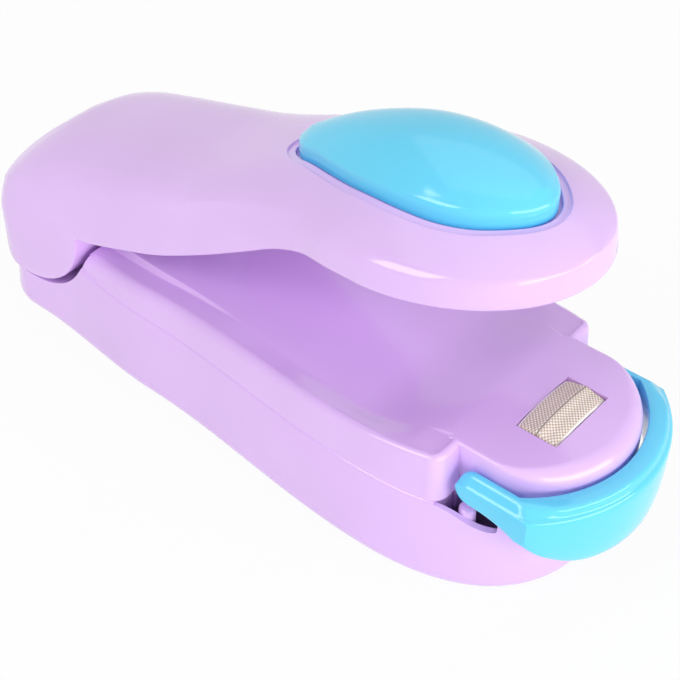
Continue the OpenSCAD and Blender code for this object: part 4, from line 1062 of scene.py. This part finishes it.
def sealing_tape():
    us = np.linspace(-TAPE_W / 2, TAPE_W / 2, 61)
    flat = TAPE_END - TAPE_BEND
    side = tape_drop(flat)
    along = [(y, tape_drop(y)) for y in np.linspace(0, flat, 18)]
    along += [(flat + TAPE_BEND * math.sin(a), side + TAPE_BEND * (1 - math.cos(a)))
              for a in np.radians(np.linspace(15, 90, 6))]
    along += [(TAPE_END, side + TAPE_BEND + d) for d in (0.5, 1.0, 1.4)]
    along = [(-y, d) for y, d in along[:0:-1]] + along
    verts, faces, n = [], [], len(us)
    for y, down in along:
        verts += [(WIRE_X + u, y, NOSE_H + RIDGE_H - curve(SWAY, u) - down) for u in us]
    for j in range(len(along) - 1):
        for i in range(n - 1):
            faces.append([j * n + i, j * n + i + 1, (j + 1) * n + i + 1, (j + 1) * n + i])
    obj = new_object("tape", verts, faces)
    m = obj.modifiers.new("thick", "SOLIDIFY")
    m.thickness, m.offset = TAPE_T * MM, -1
    return obj


def tube(points, r, sides=16):
    """Round wire of radius r along the points."""
    pts = [Vector(p) for p in points]
    rings = []
    for i, p in enumerate(pts):
        along = (pts[min(i + 1, len(pts) - 1)] - pts[max(i - 1, 0)]).normalized()
        across = along.orthogonal() if i == 0 else u - along * u.dot(along)
        u = across.normalized()
        v = along.cross(u)
        turns = [2 * math.pi * k / sides for k in range(sides)]
        rings.append([p + u * (r * math.cos(a)) + v * (r * math.sin(a)) for a in turns])
    return lofted("tube", rings)


def heating_wire():
    lo, hi = (np.array(c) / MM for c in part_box("heating_wire"))
    r = (hi[0] - lo[0]) / 2
    top, foot, end = hi[2] - r, lo[2] + r, hi[1] - r
    path = [(WIRE_X, y, top - tape_drop(y)) for y in np.linspace(0, end - WIRE_BEND, 16)]
    last = path[-1]
    path += [(WIRE_X, last[1] + WIRE_BEND * math.sin(a), last[2] - WIRE_BEND * (1 - math.cos(a)))
             for a in np.radians((20, 40, 60, 80, 90))]
    path.append((WIRE_X, end, foot))
    return tube([(x, -y, z) for x, y, z in path[:0:-1]] + path, r)


def heater_block():
    """The block of the frame with its top a little lower, clear under the tented tape."""
    obj = placed("block", nodes["heater_block"].data.copy())
    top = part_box("heater_block")[1][2]
    for v in obj.data.vertices:
        if v.co.z > top - 0.4 * MM:
            v.co.z -= BLOCK_LOWER * MM
    return obj


# The coil of the frame, between the case at its foot and the lever at its top
SPRING_FOOT, END_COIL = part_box("return_spring")[0][2] / MM, 1.0
spring = placed("spring", nodes["return_spring"].data.copy())
spring_low = (SPRING_X * MM, 0, (SPRING_FOOT + END_COIL) * MM)
spring_high = (SPRING_X * MM, 0, (SPRING_TOP - END_COIL) * MM)
finish_piece(spring, "return_spring", 60, ("case", "lever", spring_low, spring_high))
finish_piece(heating_wire(), "heating_wire", 60)
finish_piece(heater_block(), "heater_block", 30)
finish_piece(sealing_tape(), "sealing_tape", 60)

# Floor, world, lights and camera
FLOOR_HALF, FLOOR_Z, FLOOR_WHITE = 3, -0.0001, 0.93
SOFT_LIGHT = 0.4
AIM = Vector((0.0, 0.0, 0.02))
CAMERA_TURN, CAMERA_RISE, CAMERA_FAR = 40.24, 41.53, 240.1
CAMERA_AIM = (6.52, -3.16, 18.0)
FOCAL_PIXELS, PHOTO_PIXELS, SENSOR_W = 1587.87, 680, 36.0


def seen_white(tree, lit, white, amount):
    """Mixes plain white into what camera, glossy and transmission rays see."""
    path = tree.nodes.new("ShaderNodeLightPath")
    total = path.outputs["Is Camera Ray"]
    for kind in ("Is Glossy Ray", "Is Transmission Ray"):
        total = mapped(tree, "MAXIMUM", total, path.outputs[kind])
    blend = tree.nodes.new("ShaderNodeMixShader")
    tree.links.new(mapped(tree, "MULTIPLY", total, amount), blend.inputs[0])
    tree.links.new(lit, blend.inputs[1])
    tree.links.new(white, blend.inputs[2])
    return blend.outputs[0]


def floor_look():
    look, tree, shader, place = material("floor_look")
    shader.inputs["Roughness"].default_value = 0.9
    shader.inputs["Specular IOR Level"].default_value = 0.0
    shades = [(0.3, (0.93, 0.93, 0.93)), (0.7, (0.95, 0.95, 0.95))]
    tree.links.new(ramp(tree, noise(tree, place, 40, 2), shades), shader.inputs["Base Color"])
    white = tree.nodes.new("ShaderNodeEmission")
    white.inputs["Strength"].default_value = 1.0
    out = next(n for n in tree.nodes if n.type == "OUTPUT_MATERIAL")
    seen = seen_white(tree, shader.outputs[0], white.outputs[0], FLOOR_WHITE)
    tree.links.new(seen, out.inputs["Surface"])
    return look


def studio_world():
    """Even light of its own strength, seen as plain white."""
    world = bpy.data.worlds.new("studio")
    bpy.context.scene.world = world
    world.use_nodes = True
    tree = world.node_tree
    tree.nodes.clear()
    layers = []
    for strength in (SOFT_LIGHT, 1.0):
        layer = tree.nodes.new("ShaderNodeBackground")
        layer.inputs["Color"].default_value = (1, 1, 1, 1)
        layer.inputs["Strength"].default_value = strength
        layers.append(layer.outputs[0])
    out = tree.nodes.new("ShaderNodeOutputWorld")
    tree.links.new(seen_white(tree, *layers, 1.0), out.inputs["Surface"])


def towards(turn, rise):
    """Direction at a turn away from -Y towards +X and a height above the horizon, in degrees."""
    a, b = math.radians(turn), math.radians(rise)
    return Vector((math.sin(a) * math.cos(b), -math.cos(a) * math.cos(b), math.sin(b)))


def area_light(name, at, size, power):
    data = bpy.data.lights.new(name, "AREA")
    data.shape = "RECTANGLE"
    data.size, data.size_y = size
    data.energy = power
    obj = bpy.data.objects.new(name, data)
    obj.location = at
    obj.rotation_mode = "QUATERNION"
    obj.rotation_quaternion = (AIM - Vector(at)).to_track_quat("-Z", "Y")
    bpy.context.scene.collection.objects.link(obj)


def photo_camera():
    """Camera at the photo's angle and distance."""
    data = bpy.data.cameras.new("camera")
    camera = bpy.data.objects.new("camera", data)
    bpy.context.scene.collection.objects.link(camera)
    bpy.context.scene.camera = camera
    back = towards(CAMERA_TURN, CAMERA_RISE)
    camera.location = Vector(CAMERA_AIM) * MM + back * CAMERA_FAR * MM
    camera.rotation_mode = "QUATERNION"
    camera.rotation_quaternion = (-back).to_track_quat("-Z", "Y")
    data.sensor_width = SENSOR_W
    data.lens = FOCAL_PIXELS * SENSOR_W / PHOTO_PIXELS
    data.clip_start, data.clip_end = 0.01, 20.0


corners = [(-1, -1), (1, -1), (1, 1), (-1, 1)]
floor_mesh = bpy.data.meshes.new("floor")
floor_mesh.from_pydata([(x * FLOOR_HALF, y * FLOOR_HALF, FLOOR_Z) for x, y in corners], [],
                       [[0, 1, 2, 3]])
floor = placed("floor", floor_mesh)
floor_mesh.materials.append(floor_look())
studio_world()
area_light("key", AIM + 0.62 * towards(-17, 40), (0.3, 0.26), 1.15)
area_light("mouth", AIM + 0.6 * towards(84, 14), (0.7, 0.26), 2.5)
area_light("top", (-0.15, 0.25, 1.2), (1.4, 1.4), 3.4)
photo_camera()
bpy.context.scene.view_settings.view_transform = "Standard"
